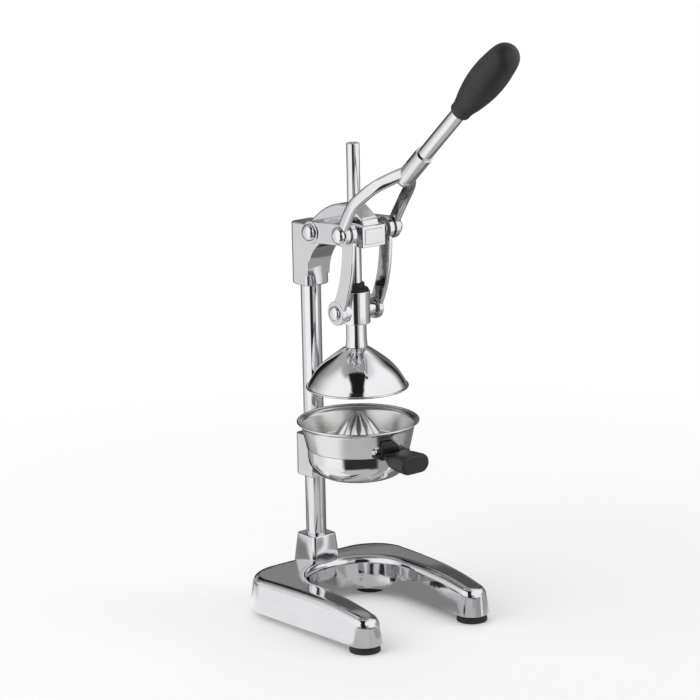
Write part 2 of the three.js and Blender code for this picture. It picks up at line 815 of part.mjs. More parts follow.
function armRoute() {
  const forward = socketFoot.y - pivotB.y;
  const up = socketFoot.z - pivotB.z;
  return new THREE.CatmullRomCurve3(armOutShares.map((out, i) => new THREE.Vector3(
    armSpread * out,
    pivotB.y + forward * armForwardShares[i],
    pivotB.z + up * armUpShares[i],
  )));
}

function makeArm() {
  const section = new THREE.Shape();
  section.absellipse(0, 0, armHalfThick, armHalfWide, 0, 2 * Math.PI, false, 0);
  return solid(new THREE.ExtrudeGeometry(section, {
    steps: armSteps, curveSegments: armRoundSteps, extrudePath: armRoute(),
  }));
}

// Bar along the handle's line between two distances from the socket's foot
function handleBar(radius, from, to, steps) {
  return alongHandle(upright(radius, from, to, steps));
}

function alongHandle(body) {
  const degrees = 90 - handleAngle;
  return body.rotate([degrees, 0, 0]).translate(0, socketFoot.y, socketFoot.z);
}

function makeYoke() {
  const right = slab(cheekOutline(), cheekInner, cheekInner + cheekThick, 1)
    .add(crossBar(bossRadius, cheekInner, cheekFace, middleSteps, pivotA))
    .add(crossBar(bossRadius, cheekInner, cheekFace, middleSteps, pivotB))
    .add(makeArm());
  const left = solid(geometryOf(right).scale(-1, 1, 1));
  const root = new THREE.SphereGeometry(socketRadius + socketRootSwell, socketRootSteps, socketRootSteps);
  root.translate(0, socketFoot.y, socketFoot.z);
  let body = right.add(left).add(solid(root)).add(handleBar(socketRadius, 0, socketLength, middleSteps));
  body = body.subtract(handleBar(tubeRadius + gap, socketFloor, socketLength + overrun, middleSteps));
  const armOuter = armSpread + armHalfThick + overrun;
  for (const pivot of [pivotA, pivotB]) {
    for (const side of [-1, 1]) {
      body = body.subtract(crossBar(
        pivotRadius + gap, side * (cheekInner - overrun), side * (cheekFace + overrun), smallSteps, pivot,
      ));
      body = body.subtract(crossBar(
        spotFaceRadius, side * cheekFace, side * armOuter, middleSteps, pivot,
      ));
      body = body.subtract(crossBar(
        spotFaceRadius, side * (cheekInner - armHalfThick), side * cheekInner, middleSteps, pivot,
      ));
    }
  }
  return body;
}

function addHandle() {
  const tubeFoot = socketFloor + gap;
  const gripFoot = socketLength + tubeShown;
  const tubeTop = gripFoot + tubeInGrip;
  const tube = handleBar(tubeRadius, tubeFoot, tubeTop, middleSteps)
    .subtract(handleBar(tubeRadius - tubeWall, tubeFoot - overrun, tubeTop + overrun, middleSteps));
  addPiece('handle_tube', tube, chrome);
  const outline = gripPlaceShares.map((share, i) => new THREE.Vector2(
    gripRadius * gripRadiusShares[i], gripFoot + gripLength * share,
  ));
  const profile = [[0, gripFoot], ...outline.map((point) => [point.x, point.y]), [0, gripFoot + gripLength]];
  const grip = alongHandle(turned(profile, middleSteps))
    .subtract(handleBar(tubeRadius + gap, gripFoot - overrun, tubeTop + gap, middleSteps));
  addPiece('handle_grip', grip, blackPlastic);
}

function addRam() {
  const rod = turned([
    [0, ramFoot], [ramRadius, ramFoot], [ramRadius, ramTop - ramChamfer],
    [ramRadius - ramChamfer, ramTop], [0, ramTop],
  ], middleSteps);
  addPiece('ram_rod', rod, chrome);
  const seat = ramFoot - gap;
  const trunnion = crossBar(trunnionRadius, -trunnionReach, trunnionReach, middleSteps, pivotC);
  let body = upright(crossheadRadius, crossheadFoot, crossheadTop, middleSteps).add(trunnion);
  body = body.subtract(upright(ramRadius + gap, seat, crossheadTop + overrun, middleSteps));
  body = body.subtract(upright(
    bellScrewRadius + gap, crossheadFoot - overrun, crossheadFoot + bellScrewGrip, smallSteps,
  ));
  for (const side of [-1, 1]) {
    body = body.subtract(crossBar(
      pivotRadius + gap, side * (trunnionReach - trunnionBoltDepth - gap),
      side * (trunnionReach + overrun), smallSteps, pivotC,
    ));
  }
  addPiece('crosshead', body, chrome);
  const low = crossheadTop + gap;
  const bore = ramRadius + gap;
  addPiece('ram_buffer', turned([
    [bore, low], [bufferFootRadius, low], [bufferTopRadius, low + bufferStep],
    [bufferTopRadius, low + bufferHeight], [bore, low + bufferHeight], [bore, low],
  ], middleSteps), blackRubber);
  const screwBore = bellScrewRadius + gap;
  addPiece('bell_neck', turned([
    [screwBore, neckFoot], [neckFootRadius, neckFoot], [neckTopRadius, neckTop - neckLength / 2],
    [neckTopRadius, neckTop], [screwBore, neckTop], [screwBore, neckFoot],
  ], middleSteps), chrome);
}

function bellLine(inward) {
  const points = bellRadiusShares.map((share, i) => new THREE.Vector2(
    bellRadius * share - inward, bellTop - bellDepth * bellDropShares[i] - inward / 2,
  ));
  return points;
}

function addBell() {
  const screwBore = bellScrewRadius + gap;
  const outer = bellLine(0).map((point) => [point.x, point.y]);
  const inner = bellLine(bellWall).map((point) => [point.x, point.y]).reverse();
  const rim = bellTop - bellDepth;
  const profile = [
    [screwBore, bellTop], ...outer, [bellRadius + bellBead / 2, rim - bellBead / 2],
    [bellRadius, rim - bellBead], [bellRadius - bellWall, rim - bellBead],
    ...inner, [screwBore, bellTop - bellWall], [screwBore, bellTop],
  ];
  addPiece('press_bell', turned(profile, broadSteps), chrome);
  const seat = bellTop - bellWall - gap;
  const screw = upright(bellScrewHeadRadius, seat - bellScrewHeadHeight, seat, smallSteps)
    .add(upright(bellScrewRadius, seat - gap, crossheadFoot + bellScrewGrip - gap, smallSteps));
  addPiece('bell_screw', screw, zincSteel);
}

// The funnel's outer line, from its rim down to the spout, moved inwards for the inner face
function funnelLine(inward) {
  const line = funnelRadiusShares.map((share, i) => [
    funnelRadius * share - inward, funnelRim - funnelDepth * funnelDropShares[i] + (i > 0 ? inward : 0),
  ]);
  line.push([spoutRadius - inward, funnelRim - funnelDepth + inward]);
  line.push([spoutRadius - inward, funnelRim - funnelDepth - spoutDrop]);
  return line;
}

// Radius of the funnel's inner face at a height
function funnelInnerAt(z) {
  const line = funnelLine(funnelWall);
  const i = line.findIndex(([, height]) => height < z);
  const [[highRadius, high], [lowRadius, low]] = [line[i - 1], line[i]];
  return lowRadius + (highRadius - lowRadius) * (z - low) / (high - low);
}

function funnelScrewHoles(radius, from, to) {
  const z = funnelRim - funnelScrewDrop;
  return [-1, 1].map((side) => lengthBar(radius, from, to, tinySteps, side * funnelScrewReach, z));
}

function addFunnel() {
  const outer = funnelLine(0);
  const inner = funnelLine(funnelWall).reverse();
  let bowl = turned([...outer, ...inner, outer[0]], broadSteps);
  for (const hole of funnelScrewHoles(funnelScrewRadius + gap, bracketArmReach, funnelRadius + overrun)) {
    bowl = bowl.subtract(hole);
  }
  addPiece('funnel_bowl', bowl, chrome);

  const bracketFoot = bracketTop - bracketHeight;
  const armTop = bracketTop - bracketArmDrop;
  let bracket = collar(bracketFoot, bracketTop, columnReach - collarHalf);
  bracket = bracket.add(block(
    [-bracketArmHalf, bracketArmReach, armTop - bracketArmHeight],
    [bracketArmHalf, columnReach, armTop],
  ));
  const cutter = funnelLine(-gap);
  const clear = funnelRim + bracketHeight;
  bracket = bracket.subtract(turned([
    [0, clear], [cutter[0][0], clear], ...cutter, [0, cutter[cutter.length - 1][1]], [0, clear],
  ], broadSteps));
  bracket = bracket.subtract(upright(
    columnRadius + gap, bracketFoot - overrun, bracketTop + overrun, middleSteps, 0, columnReach,
  ));
  const grubHeight = bracketTop - bracketHeight / 2;
  bracket = bracket.subtract(grubHole(grubHeight));
  for (const hole of funnelScrewHoles(funnelScrewRadius + gap, bracketArmReach, funnelScrewTip + gap)) {
    bracket = bracket.subtract(hole);
  }
  addPiece('bowl_bracket', bracket, chrome);
  addGrub('bracket_grub', grubHeight);
  const wallRadius = funnelInnerAt(funnelRim - funnelScrewDrop - funnelScrewHeadRadius);
  const flatShare = Math.cos(Math.PI / broadSteps);
  const headSeat = Math.sqrt(
    (wallRadius * flatShare) ** 2 - (funnelScrewReach + funnelScrewHeadRadius) ** 2,
  ) - gap;
  const heads = funnelScrewHoles(funnelScrewHeadRadius, headSeat - funnelScrewHeadHeight, headSeat);
  const shanks = funnelScrewHoles(funnelScrewRadius, headSeat - gap, funnelScrewTip);
  addPiece('funnel_screw_left', heads[0].add(shanks[0]), zincSteel);
  addPiece('funnel_screw_right', heads[1].add(shanks[1]), zincSteel);
}

// Outer radius of the strainer's cone at a height
function strainerRadiusAt(z) {
  const low = strainerFoot + strainerFootRise;
  const high = strainerRim - strainerFlare;
  const share = (z - low) / (high - low);
  return strainerFootRadius + share * (strainerTopRadius - strainerFootRadius);
}

function addStrainer() {
  const flare = strainerRim - strainerFlare;
  const low = strainerFoot + strainerFootRise;
  const floorFoot = strainerFloor - strainerWall;
  const skirtInner = strainerSkirtRadius - strainerWall;
  const screwBore = reamerScrewRadius + gap;
  let bowl = turned([
    [screwBore, floorFoot], [strainerSkirtRadius, floorFoot], [strainerSkirtRadius, strainerFoot],
    [strainerFootRadius, strainerFoot], [strainerFootRadius, low], [strainerTopRadius, flare],
    [strainerRimRadius, strainerRim - strainerBead],
    [strainerRimRadius + strainerBead, strainerRim - strainerBead / 2],
    [strainerRimRadius, strainerRim], [strainerRimRadius - strainerBead, strainerRim - strainerBead / 2],
    [strainerTopRadius - strainerWall, flare], [strainerFootRadius - strainerWall, low],
    [skirtInner, strainerFoot + strainerWall], [skirtInner, strainerFloor], [screwBore, strainerFloor],
    [screwBore, floorFoot],
  ], broadSteps);
  for (let i = 0; i < drainHoles; i += 1) {
    const turn = (2 * Math.PI * i) / drainHoles;
    const reach = i % 2 ? drainOuter : drainInner;
    bowl = bowl.subtract(upright(
      drainRadius, floorFoot - overrun, strainerFloor + overrun, 6,
      reach * Math.cos(turn), reach * Math.sin(turn),
    ));
  }
  addPiece('strainer_bowl', bowl, satinSteel);
  const seat = floorFoot - gap;
  const screw = upright(reamerScrewHeadRadius, seat - reamerScrewHeadHeight, seat, smallSteps)
    .add(upright(reamerScrewRadius, seat - gap, reamerFoot + reamerScrewGrip - gap, tinySteps));
  addPiece('reamer_screw', screw, zincSteel);
}

function addReamer() {
  const coneFoot = reamerFoot + reamerFlangeHeight;
  const coneHeight = reamerHeight - reamerFlangeHeight;
  const profile = reamerRadiusShares.map((share, i) => new THREE.Vector2(
    reamerRadius * share, coneFoot + coneHeight * reamerRiseShares[i],
  ));
  const cone = new THREE.LatheGeometry(
    [new THREE.Vector2(0, reamerFoot), new THREE.Vector2(reamerRadius, reamerFoot), ...profile],
    reamerRibs * reamerStepsPerRib,
  );
  cone.rotateX(quarterTurn);
  const spots = cone.attributes.position;
  for (let i = 0; i < spots.count; i += 1) {
    const turn = Math.atan2(spots.getY(i), spots.getX(i));
    const flute = 1 - reamerRibShare * (1 + Math.cos(reamerRibs * turn)) / 2;
    spots.setXY(i, spots.getX(i) * flute, spots.getY(i) * flute);
  }
  const body = solid(cone)
    .add(upright(reamerFlange, reamerFoot, reamerFoot + reamerFlangeHeight, broadSteps))
    .subtract(upright(
      reamerScrewRadius + gap, reamerFoot - overrun, reamerFoot + reamerScrewGrip, tinySteps,
    ));
  addPiece('reamer', body, satinSteel);
}

// Stadium outline across X and Z, as a ring of a loft that runs along Y
function stadiumRing(halfWide, halfHigh, along) {
  const ring = [];
  for (const side of [1, -1]) {
    for (let i = 0; i <= bowlGripSteps; i += 1) {
      const turn = quarterTurn - Math.PI * (i / bowlGripSteps);
      ring.push(new THREE.Vector3(
        side * (halfWide - halfHigh + halfHigh * Math.cos(turn)), side * halfHigh * Math.sin(turn), along,
      ));
    }
  }
  return ring;
}

// Ring wall that hugs the strainer's cone between two heights, from its face out to a thickness
function coneBand(low, high, from, to) {
  return turned([
    [strainerRadiusAt(low) + from, low], [strainerRadiusAt(low) + to, low],
    [strainerRadiusAt(high) + to, high], [strainerRadiusAt(high) + from, high],
    [strainerRadiusAt(low) + from, low],
  ], broadSteps * 2);
}

function addStrainerHandle() {
  const strapMiddle = strainerFoot + strapRise;
  const strapBand = coneBand(
    strapMiddle - strapHalfHeight, strapMiddle + strapHalfHeight, gap, gap + strapThick,
  );
  const far = -strainerTopRadius - bowlGripFront;
  const near = -strainerFootRadius / 2;
  const ends = [-1, 1].map((side) => lengthBar(
    strapHalfHeight, far, near, smallSteps, strapShift + side * (strapHalf - strapHalfHeight), strapMiddle,
  ));
  const middle = block(
    [strapShift + strapHalfHeight - strapHalf, far, strapMiddle - strapHalfHeight],
    [strapShift + strapHalf - strapHalfHeight, near, strapMiddle + strapHalfHeight],
  );
  const strap = strapBand.intersect(middle.add(ends[0]).add(ends[1]));
  addPiece('strap', strap, satinSteel);

  const padMiddle = strainerFoot + padRise;
  const padLow = padMiddle - padHalfHeight;
  const padHigh = padMiddle + padHalfHeight;
  const inside = gap + strapThick + gap;
  const pad = coneBand(padLow, padHigh, inside, inside + padThick).intersect(block(
    [padShift - padHalf, far, padLow], [padShift + padHalf, near, padHigh],
  ));
  const saddleLow = strainerFoot + saddleRise;
  const saddleHigh = saddleLow + saddleHeight;
  const saddleFront = strainerFootRadius + saddleReach;
  const saddle = coneBand(saddleLow, saddleHigh, inside, inside + saddleHalf).intersect(block(
    [-saddleHalf, -saddleFront, saddleLow], [saddleHalf, near, saddleHigh],
  ));
  const gripMiddle = padMiddle - bowlGripDrop;
  const length = bowlGripFront - bowlGripBack;
  const back = bowlGripBackShare;
  const wide = bowlGripHalfWide;
  const high = bowlGripHalfHigh;
  const grip = loft([
    stadiumRing(wide * back - bowlGripRound, high * back - bowlGripRound, 0),
    stadiumRing(wide * back, high * back, bowlGripRound),
    stadiumRing(wide, high, length - bowlGripRound),
    stadiumRing(wide - bowlGripRound, high - bowlGripRound, length),
  ]).rotate([90, 0, 0]).translate(0, -bowlGripBack, gripMiddle);
  const neckStart = saddleFront - overrun / 2;
  const neckEnd = bowlGripBack + overrun;
  const neck = new THREE.Shape([
    new THREE.Vector2(-neckStart, saddleLow),
    new THREE.Vector2(-neckStart, saddleHigh),
    new THREE.Vector2(-neckEnd, saddleHigh),
    new THREE.Vector2(-neckEnd, saddleHigh - bowlNeckDrop),
  ]);
  const body = pad.add(saddle).add(grip).add(slab(neck, -bowlNeckHalfWide, bowlNeckHalfWide, 1));
  addPiece('strainer_handle', body, blackPlastic);
}

addPiece('base_casting', makeBase(), chrome);
addFeet();
addColumn();
addHead();
addPins();
addPair('link', makeLink, chrome);
addPiece('lever_yoke', makeYoke(), chrome);
addHandle();
addRam();
addBell();
addFunnel();
addStrainer();
addReamer();
addStrainerHandle();

// The origin is the middle of the whole press at table height
const box = new THREE.Box3().setFromObject(press);
press.position.y = -(box.min.y + box.max.y) / 2;

export default press;
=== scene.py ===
import json
from math import cos, pi, radians, sin, tan, tau

import bmesh
import bpy
from mathutils import Matrix, Vector


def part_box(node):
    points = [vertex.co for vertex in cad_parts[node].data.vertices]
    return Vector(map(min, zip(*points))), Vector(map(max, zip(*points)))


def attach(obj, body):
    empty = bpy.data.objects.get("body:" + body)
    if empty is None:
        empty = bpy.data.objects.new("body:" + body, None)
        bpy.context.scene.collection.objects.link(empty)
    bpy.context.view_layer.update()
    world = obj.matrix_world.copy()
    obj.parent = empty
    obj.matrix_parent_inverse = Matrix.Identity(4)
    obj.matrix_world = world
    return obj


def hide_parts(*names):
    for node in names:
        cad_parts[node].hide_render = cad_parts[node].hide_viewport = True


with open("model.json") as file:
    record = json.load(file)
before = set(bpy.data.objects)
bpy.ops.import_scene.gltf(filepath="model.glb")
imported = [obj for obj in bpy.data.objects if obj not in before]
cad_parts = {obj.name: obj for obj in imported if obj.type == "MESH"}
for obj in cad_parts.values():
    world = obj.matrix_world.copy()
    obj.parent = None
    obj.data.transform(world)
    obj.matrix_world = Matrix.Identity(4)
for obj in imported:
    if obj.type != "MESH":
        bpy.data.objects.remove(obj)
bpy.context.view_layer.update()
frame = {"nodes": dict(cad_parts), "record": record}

# The shapes are drawn in millimetres from the ram's axis at table height, front towards -Y. The ram's
# own node says where that axis stands in the frame, which is in metres.
MM = 0.001
ram_low, ram_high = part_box("ram_rod")
TO_FRAME = Matrix.Translation((0, (ram_low.y + ram_high.y) / 2, 0)) @ Matrix.Scale(MM, 4)

# Between pieces: the gap at rest, the play round a pin, and how far a tool runs past a face that it cuts
GAP = 0.3
PLAY = 0.2
OVERRUN = 2

# Radii of the holes for screws
BOLT_HOLE = 4.3
GRUB_HOLE = 2.8
FOOT_SCREW_HOLE = 2.3
FUNNEL_SCREW_HOLE = 2.2

# Column and base
COLUMN_Y = 78
COLUMN_RADIUS = 11
COLUMN_SEAT = 20
COLUMN_FOOT = 20.3
COLUMN_BORE_TOP = 45
COLUMN_TOP = 416.2
BASE_HALF = 101
BASE_REAR = 99
BASE_CORNER = 50
BASE_WALL = 5
BASE_FOOT = 8
TIP_RADIUS = 18.5
TIP_X = 73.5
TIP_Y = -98
ARCH_RADIUS = 55
ARCH_Y = -1
SHOULDER = 12
SHOULDER_DROP = 9
DRAFT = 2.8
CROWN_RISE = 38
CROWN_Y = COLUMN_Y - 98
CROWN_REAR_FALL = (3, 100)
CROWN_FRONT_FALL = (8.5, 85)
TOWER_HALF = 19
TOWER_TOP_HALF = 16.2
TOWER_CHAMFER = 3.3
TOWER_FOOT = 39
TOWER_STEP = 42.5
TOWER_LIP = 71.6
TOWER_TOP = 72.5
BOSS_RADIUS = 16
BOSS_FOOT = 14
REAR_PAD_X = 58
REAR_PAD_Y = 57

# Head
HEAD_FLOOR = 410.5
HEAD_CROWN = 421.5
HEAD_SHELF = 433.1
HEAD_HALF = 15.4
HEAD_NOSE = -33
HEAD_RISE_FOOT = COLUMN_Y - 34
HEAD_RISE_TOP = 20
HEAD_GRUBS = (396.1, 367.4)
COLLAR_HALF = 15.5
COLLAR_EDGE = 1.5
COLLAR_CORNER = 7.5
COLLAR_FRONT = COLUMN_Y - COLLAR_HALF
COLLAR_LENGTH = 57.5
COLLAR_NOSE = 7
COVE_RADIUS = 46
HUMP_HALF = 11
HUMP_TOP = 451.5
HUMP_BACK = COLUMN_Y - 9
HUMP_PEAK_HALF = 6
HUMP_FRONT = -29
AXLE_BOSS = 12
BADGE_HALF = 11.7
BADGE_MARGIN = 3.5
BADGE_PROUD = 0.6
BADGE_SUNK = 0.7
BUSH_BORE = 7.2
BUSH_RADIUS = 9.1
BUSH_SUNK = 2.6

# Linkage
AXLE = (29.5, 421.5)
CRANK = (-21.528, 425.695)
TRUNNION = (0, 337.278)
LINK_INNER = 22
LINK_OUTER = 28
LINK_HALF = 8.5
LINK_BOW = -23
CRANK_EYE = 12
TRUNNION_EYE = 13
EYE_EASE = 0.9
CHEEK_INNER = 30.6
CHEEK_FACE = 36.7
CHEEK_THICK = 4.6
CHEEK_HALF = 11.4
CHEEK_EYE = 12
EYE_CLEARANCE = 10.6
TRUNNION_RADIUS = 9.5
TRUNNION_REACH = 21.7
PIN_RADIUS = 5
SPACER_RADIUS = 8
NUT_FOOT = 19.3
# Bolts: pivot, face under the head, the head's radius and height, the shank's radius and its inner end
BOLTS = {"axle": (AXLE, CHEEK_FACE, 9.5, 7, 3, 22.7), "crank": (CRANK, CHEEK_FACE, 9.5, 7, PIN_RADIUS, 28.9),
         "trunnion": (TRUNNION, LINK_OUTER, 8.3, 4.7, PIN_RADIUS, 12.7)}

# Lever arms: how far out they start, and the half sizes of their squared oval
ARM_OUT = 34.4
ARM_THICK = 4.4
ARM_WIDE = 6.7
ARM_SQUARENESS = 2.5

# Handle, measured along its own line from the foot of the socket
SOCKET_FOOT = (-86.83, 491.2)
HANDLE_LEAN = radians(48)
SOCKET_START = 0.5
SOCKET_FLOOR = 8
SOCKET_LENGTH = 42
SOCKET_RADIUS = 9.8
ROOT_RADIUS = 10.2
TUBE_RADIUS = 7.8
TUBE_WALL = 1.4
GRIP_FOOT = 117.7
GRIP_LENGTH = 107
GRIP_RADIUS = 18.5
GRIP_BORE = 72
GRIP_FOOT_EASE = 0.8

# Ram, bell, funnel, strainer
RAM_RADIUS = 7
RAM_SEAT = 20
RAM_TOP = 516.5
CROSSHEAD_RADIUS = 15.3
CROSSHEAD_FOOT = 323.278
CROSSHEAD_TOP = 358.478
NECK_TOP = CROSSHEAD_FOOT - GAP
NECK_FOOT = NECK_TOP - 25.3
NECK_RADIUS = 10.9
BELL_TOP = 297.378
BELL_DEPTH = 43.2
BELL_RADIUS = 54.2
BELL_WALL = 1.6
FUNNEL_RIM = 187.5
FUNNEL_RADIUS = 55
FUNNEL_DEPTH = 32
FUNNEL_WALL = 1.5
FUNNEL_SCREW_X = 7.5
FUNNEL_SCREW_Z = 171.4
SPOUT_RADIUS = 11
BRACKET_TOP = 186.5
BRACKET_HEIGHT = 46.5
BRACKET_ARM = (145, 181)
STRAINER_FOOT = 187.8
STRAINER_FLOOR = 177
STRAINER_WALL = 1.2
SKIRT_RADIUS = 51.7
CONE_FOOT = (55.4, 189.2)
CONE_TOP = (60.9, 212.3)
RIM_BEAD = (64.2, 216.1)
DRAIN_RADIUS = 1.7
DRAIN_RINGS = (42.5, 47.5)
REAMER_FOOT = 177.3
REAMER_RADIUS = 36
REAMER_HEIGHT = 48
REAMER_DISC = 2
REAMER_DISC_RADIUS = 39
REAMER_RIBS = 10
FLUTE_SHARE = 0.105

# The strainer's strap and grip
STRAP_Z = STRAINER_FOOT + 7.5
STRAP_HALF = 4.2
GRIP_Z = STRAINER_FOOT - 0.6
GRIP_BACK = 66.4
GRIP_FRONT = 97
GRIP_NECK_HALF = 14
SADDLE = (STRAINER_FOOT + 1.6, STRAINER_FOOT + 4.4)


# Lines

def bent(start, over, end, steps):
    """Points of a curve that leaves its start towards a spot and comes from that spot to its end."""
    line = []
    for k in range(steps + 1):
        t = k / steps
        line.append(start * (1 - t) ** 2 + over * 2 * t * (1 - t) + end * t * t)
    return line


def eased(corners, closed=False, steps=5):
    """A line through corners (across, up, ease): a corner with an ease is rounded over that length."""
    line = []
    count = len(corners)
    for i, corner in enumerate(corners):
        spot = Vector(corner[:2])
        ease = corner[2] if len(corner) > 2 else 0
        if not ease or (not closed and i in (0, count - 1)):
            line.append(spot)
            continue
        back = Vector(corners[i - 1][:2]) - spot
        on = Vector(corners[(i + 1) % count][:2]) - spot
        start = spot + back.normalized() * min(ease, back.length * 0.48)
        end = spot + on.normalized() * min(ease, on.length * 0.48)
        line += bent(start, spot, end, steps)
    return line


def flowing(spots, per_span):
    """A smooth line that passes through every spot."""
    spots = [Vector(spot) for spot in spots]
    ends = [spots[0] * 2 - spots[1], *spots, spots[-1] * 2 - spots[-2]]
    line = []
    for a, b, c, d in zip(ends, ends[1:], ends[2:], ends[3:]):
        for k in range(per_span):
            t = k / per_span
            line.append(0.5 * (b * 2 + (c - a) * t + (a * 2 - b * 5 + c * 4 - d) * t * t
                               + (b * 3 - a - c * 3 + d) * t ** 3))
    line.append(spots[-1])
    return line


def arc(centre, radius, start, end, steps, rise=None):
    """Points of an arc between two angles in degrees, or of an oval with that rise."""
    turns = [radians(start + (end - start) * k / steps) for k in range(steps + 1)]
    return [Vector((centre[0] + radius * cos(t), centre[1] + (rise or radius) * sin(t))) for t in turns]


# Solids

def placed(name, data):
    """A new object in the scene."""
    thing = bpy.data.objects.new(name, data)
    bpy.context.scene.collection.objects.link(thing)
    return thing


def skin(points, faces):
    """A closed skin as a loose object, with its faces turned outwards."""
    mesh = bpy.data.meshes.new("skin")
    mesh.from_pydata([tuple(point) for point in points], [], faces)
    form = bmesh.new()
    form.from_mesh(mesh)
    bmesh.ops.remove_doubles(form, verts=form.verts, dist=0.0005)
    bmesh.ops.recalc_face_normals(form, faces=form.faces)
    form.to_mesh(mesh)
    form.free()
    return placed("skin", mesh)


def worked(body, kind, **settings):
    """The body after one modifier."""
    step = body.modifiers.new(kind.lower(), kind)
    for name, value in settings.items():
        setattr(step, name, value)
    graph = bpy.context.evaluated_depsgraph_get()
    done = bpy.data.meshes.new_from_object(body.evaluated_get(graph))
    body.modifiers.clear()
    body.data = done
    return body


def cut(body, *tools, operation="DIFFERENCE"):
    for tool in tools:
        worked(body, "BOOLEAN", operation=operation, solver="MANIFOLD", object=tool)
        bpy.data.objects.remove(tool)
    return body


def joined(body, *others):
    return cut(body, *others, operation="UNION")


def softened(body, width, segments=3, angle=35):
    """Edges sharper than the angle are rounded over the width."""
    return worked(body, "BEVEL", width=width, segments=segments, limit_method="ANGLE",
                  angle_limit=radians(angle))


def turned(profile, steps, lay=Matrix()):
    """Turned body from (radius, height) points, laid in place."""
    points, rings, faces = [], [], []
    for radius, height in profile:
        if radius < 1e-6:
            rings.append([len(points)] * steps)
            points.append(lay @ Vector((0, 0, height)))
            continue
        rings.append(range(len(points), len(points) + steps))
        for k in range(steps):
            turn = tau * k / steps
            points.append(lay @ Vector((radius * cos(turn), radius * sin(turn), height)))
    for low, high in zip(rings, rings[1:]):
        for k in range(steps):
            n = (k + 1) % steps
            face = list(dict.fromkeys((low[k], low[n], high[n], high[k])))
            if len(face) > 2:
                faces.append(face)
    return skin(points, faces)


def bar(radius, low, high, lay=Matrix(), steps=48, ease=0):
    """Round bar with eased ends."""
    return turned(eased([(0, low), (radius, low, ease), (radius, high, ease), (0, high)]), steps, lay)


def ring(inner, outer, low, high, lay=Matrix(), steps=64, ease=0):
    """Tube or washer with eased edges."""
    corners = [(inner, low), (outer, low, ease), (outer, high, ease), (inner, high, ease), (inner, low)]
    return turned(eased(corners), steps, lay)


def at(x=0, y=0, z=0):
    return Matrix.Translation((x, y, z))


def across(pivot, side=1):
    """Lays a turned body along X through a pivot, outwards on one side."""
    return at(0, *pivot) @ Matrix.Rotation(side * pi / 2, 4, "Y")


def rearwards(x, z):
    """Lays a turned body along Y."""
    return at(x, 0, z) @ Matrix.Rotation(-pi / 2, 4, "X")


def eye(pivot, radius, low, high):
    """Boss round a pivot of the linkage."""
    return bar(radius, low, high, across(pivot), 72, EYE_EASE)


def pin_hole(pivot, low, high, side=1):
    return bar(PIN_RADIUS + PLAY, low, high, across(pivot, side), 48)


def column_hole(low, high):
    return bar(COLUMN_RADIUS + PLAY, low, high, at(0, COLUMN_Y), 96)


def grub_hole(z):
    return bar(GRUB_HOLE, COLUMN_Y, COLUMN_Y + 20, rearwards(0, z), 32)


ALONG_HANDLE = at(0, *SOCKET_FOOT) @ Matrix.Rotation(HANDLE_LEAN, 4, "X")
# A side outline's first number runs along Y and its second up Z; it is made solid along X
SIDE = Matrix(((0, 0, 1, 0), (1, 0, 0, 0), (0, 1, 0, 0), (0, 0, 0, 1)))


def lofted(rings):
    """Skin over closed rings with equal numbers of points, capped at both ends."""
    count = len(rings[0])
    points = [point for one in rings for point in one]
    last = (len(rings) - 1) * count
    faces = [[*range(count)][::-1], [*range(last, last + count)]]
    for start in range(0, last, count):
        for k in range(count):
            n = (k + 1) % count
            faces.append([start + k, start + n, start + count + n, start + count + k])
    return skin(points, faces)


def plate(outline, low, high, lay=Matrix()):
    """Flat outline made solid between two heights, laid in place."""
    return lofted([[lay @ Vector((*spot[:2], height)) for spot in outline] for height in (low, high)])


def block(low, high, ease=0):
    """Box between two corners, with its edges eased."""
    corners = [(low[0], low[1]), (high[0], low[1]), (high[0], high[1]), (low[0], high[1])]
    body = plate(corners, low[2], high[2])
    return softened(body, ease) if ease else body


def mirrored(body):
    """The same body on the other side of the middle plane."""
    mesh = body.data.copy()
    mesh.transform(Matrix.Scale(-1, 4, (1, 0, 0)))
    mesh.flip_normals()
    return placed("skin", mesh)


def smoothed(body, voxel, rounds):
    """One fused skin, as a moulding comes out of its tool."""
    worked(body, "REMESH", mode="VOXEL", voxel_size=voxel)
    return worked(body, "SMOOTH", factor=0.5, iterations=rounds)


# Finishes

class Value:
    """A node's output to write expressions with: each operator adds its Math node."""

    def __init__(self, finish, socket):
        self.finish = finish
        self.socket = socket

    def worked_out(self, operation, first, second):
        return self.finish.node("ShaderNodeMath", {"operation": operation}, {0: first, 1: second})

    def __add__(self, other):
        return self.worked_out("ADD", self, other)

    def __radd__(self, other):
        return self.worked_out("ADD", other, self)

    def __mul__(self, other):
        return self.worked_out("MULTIPLY", self, other)

    def __rmul__(self, other):
        return self.worked_out("MULTIPLY", other, self)


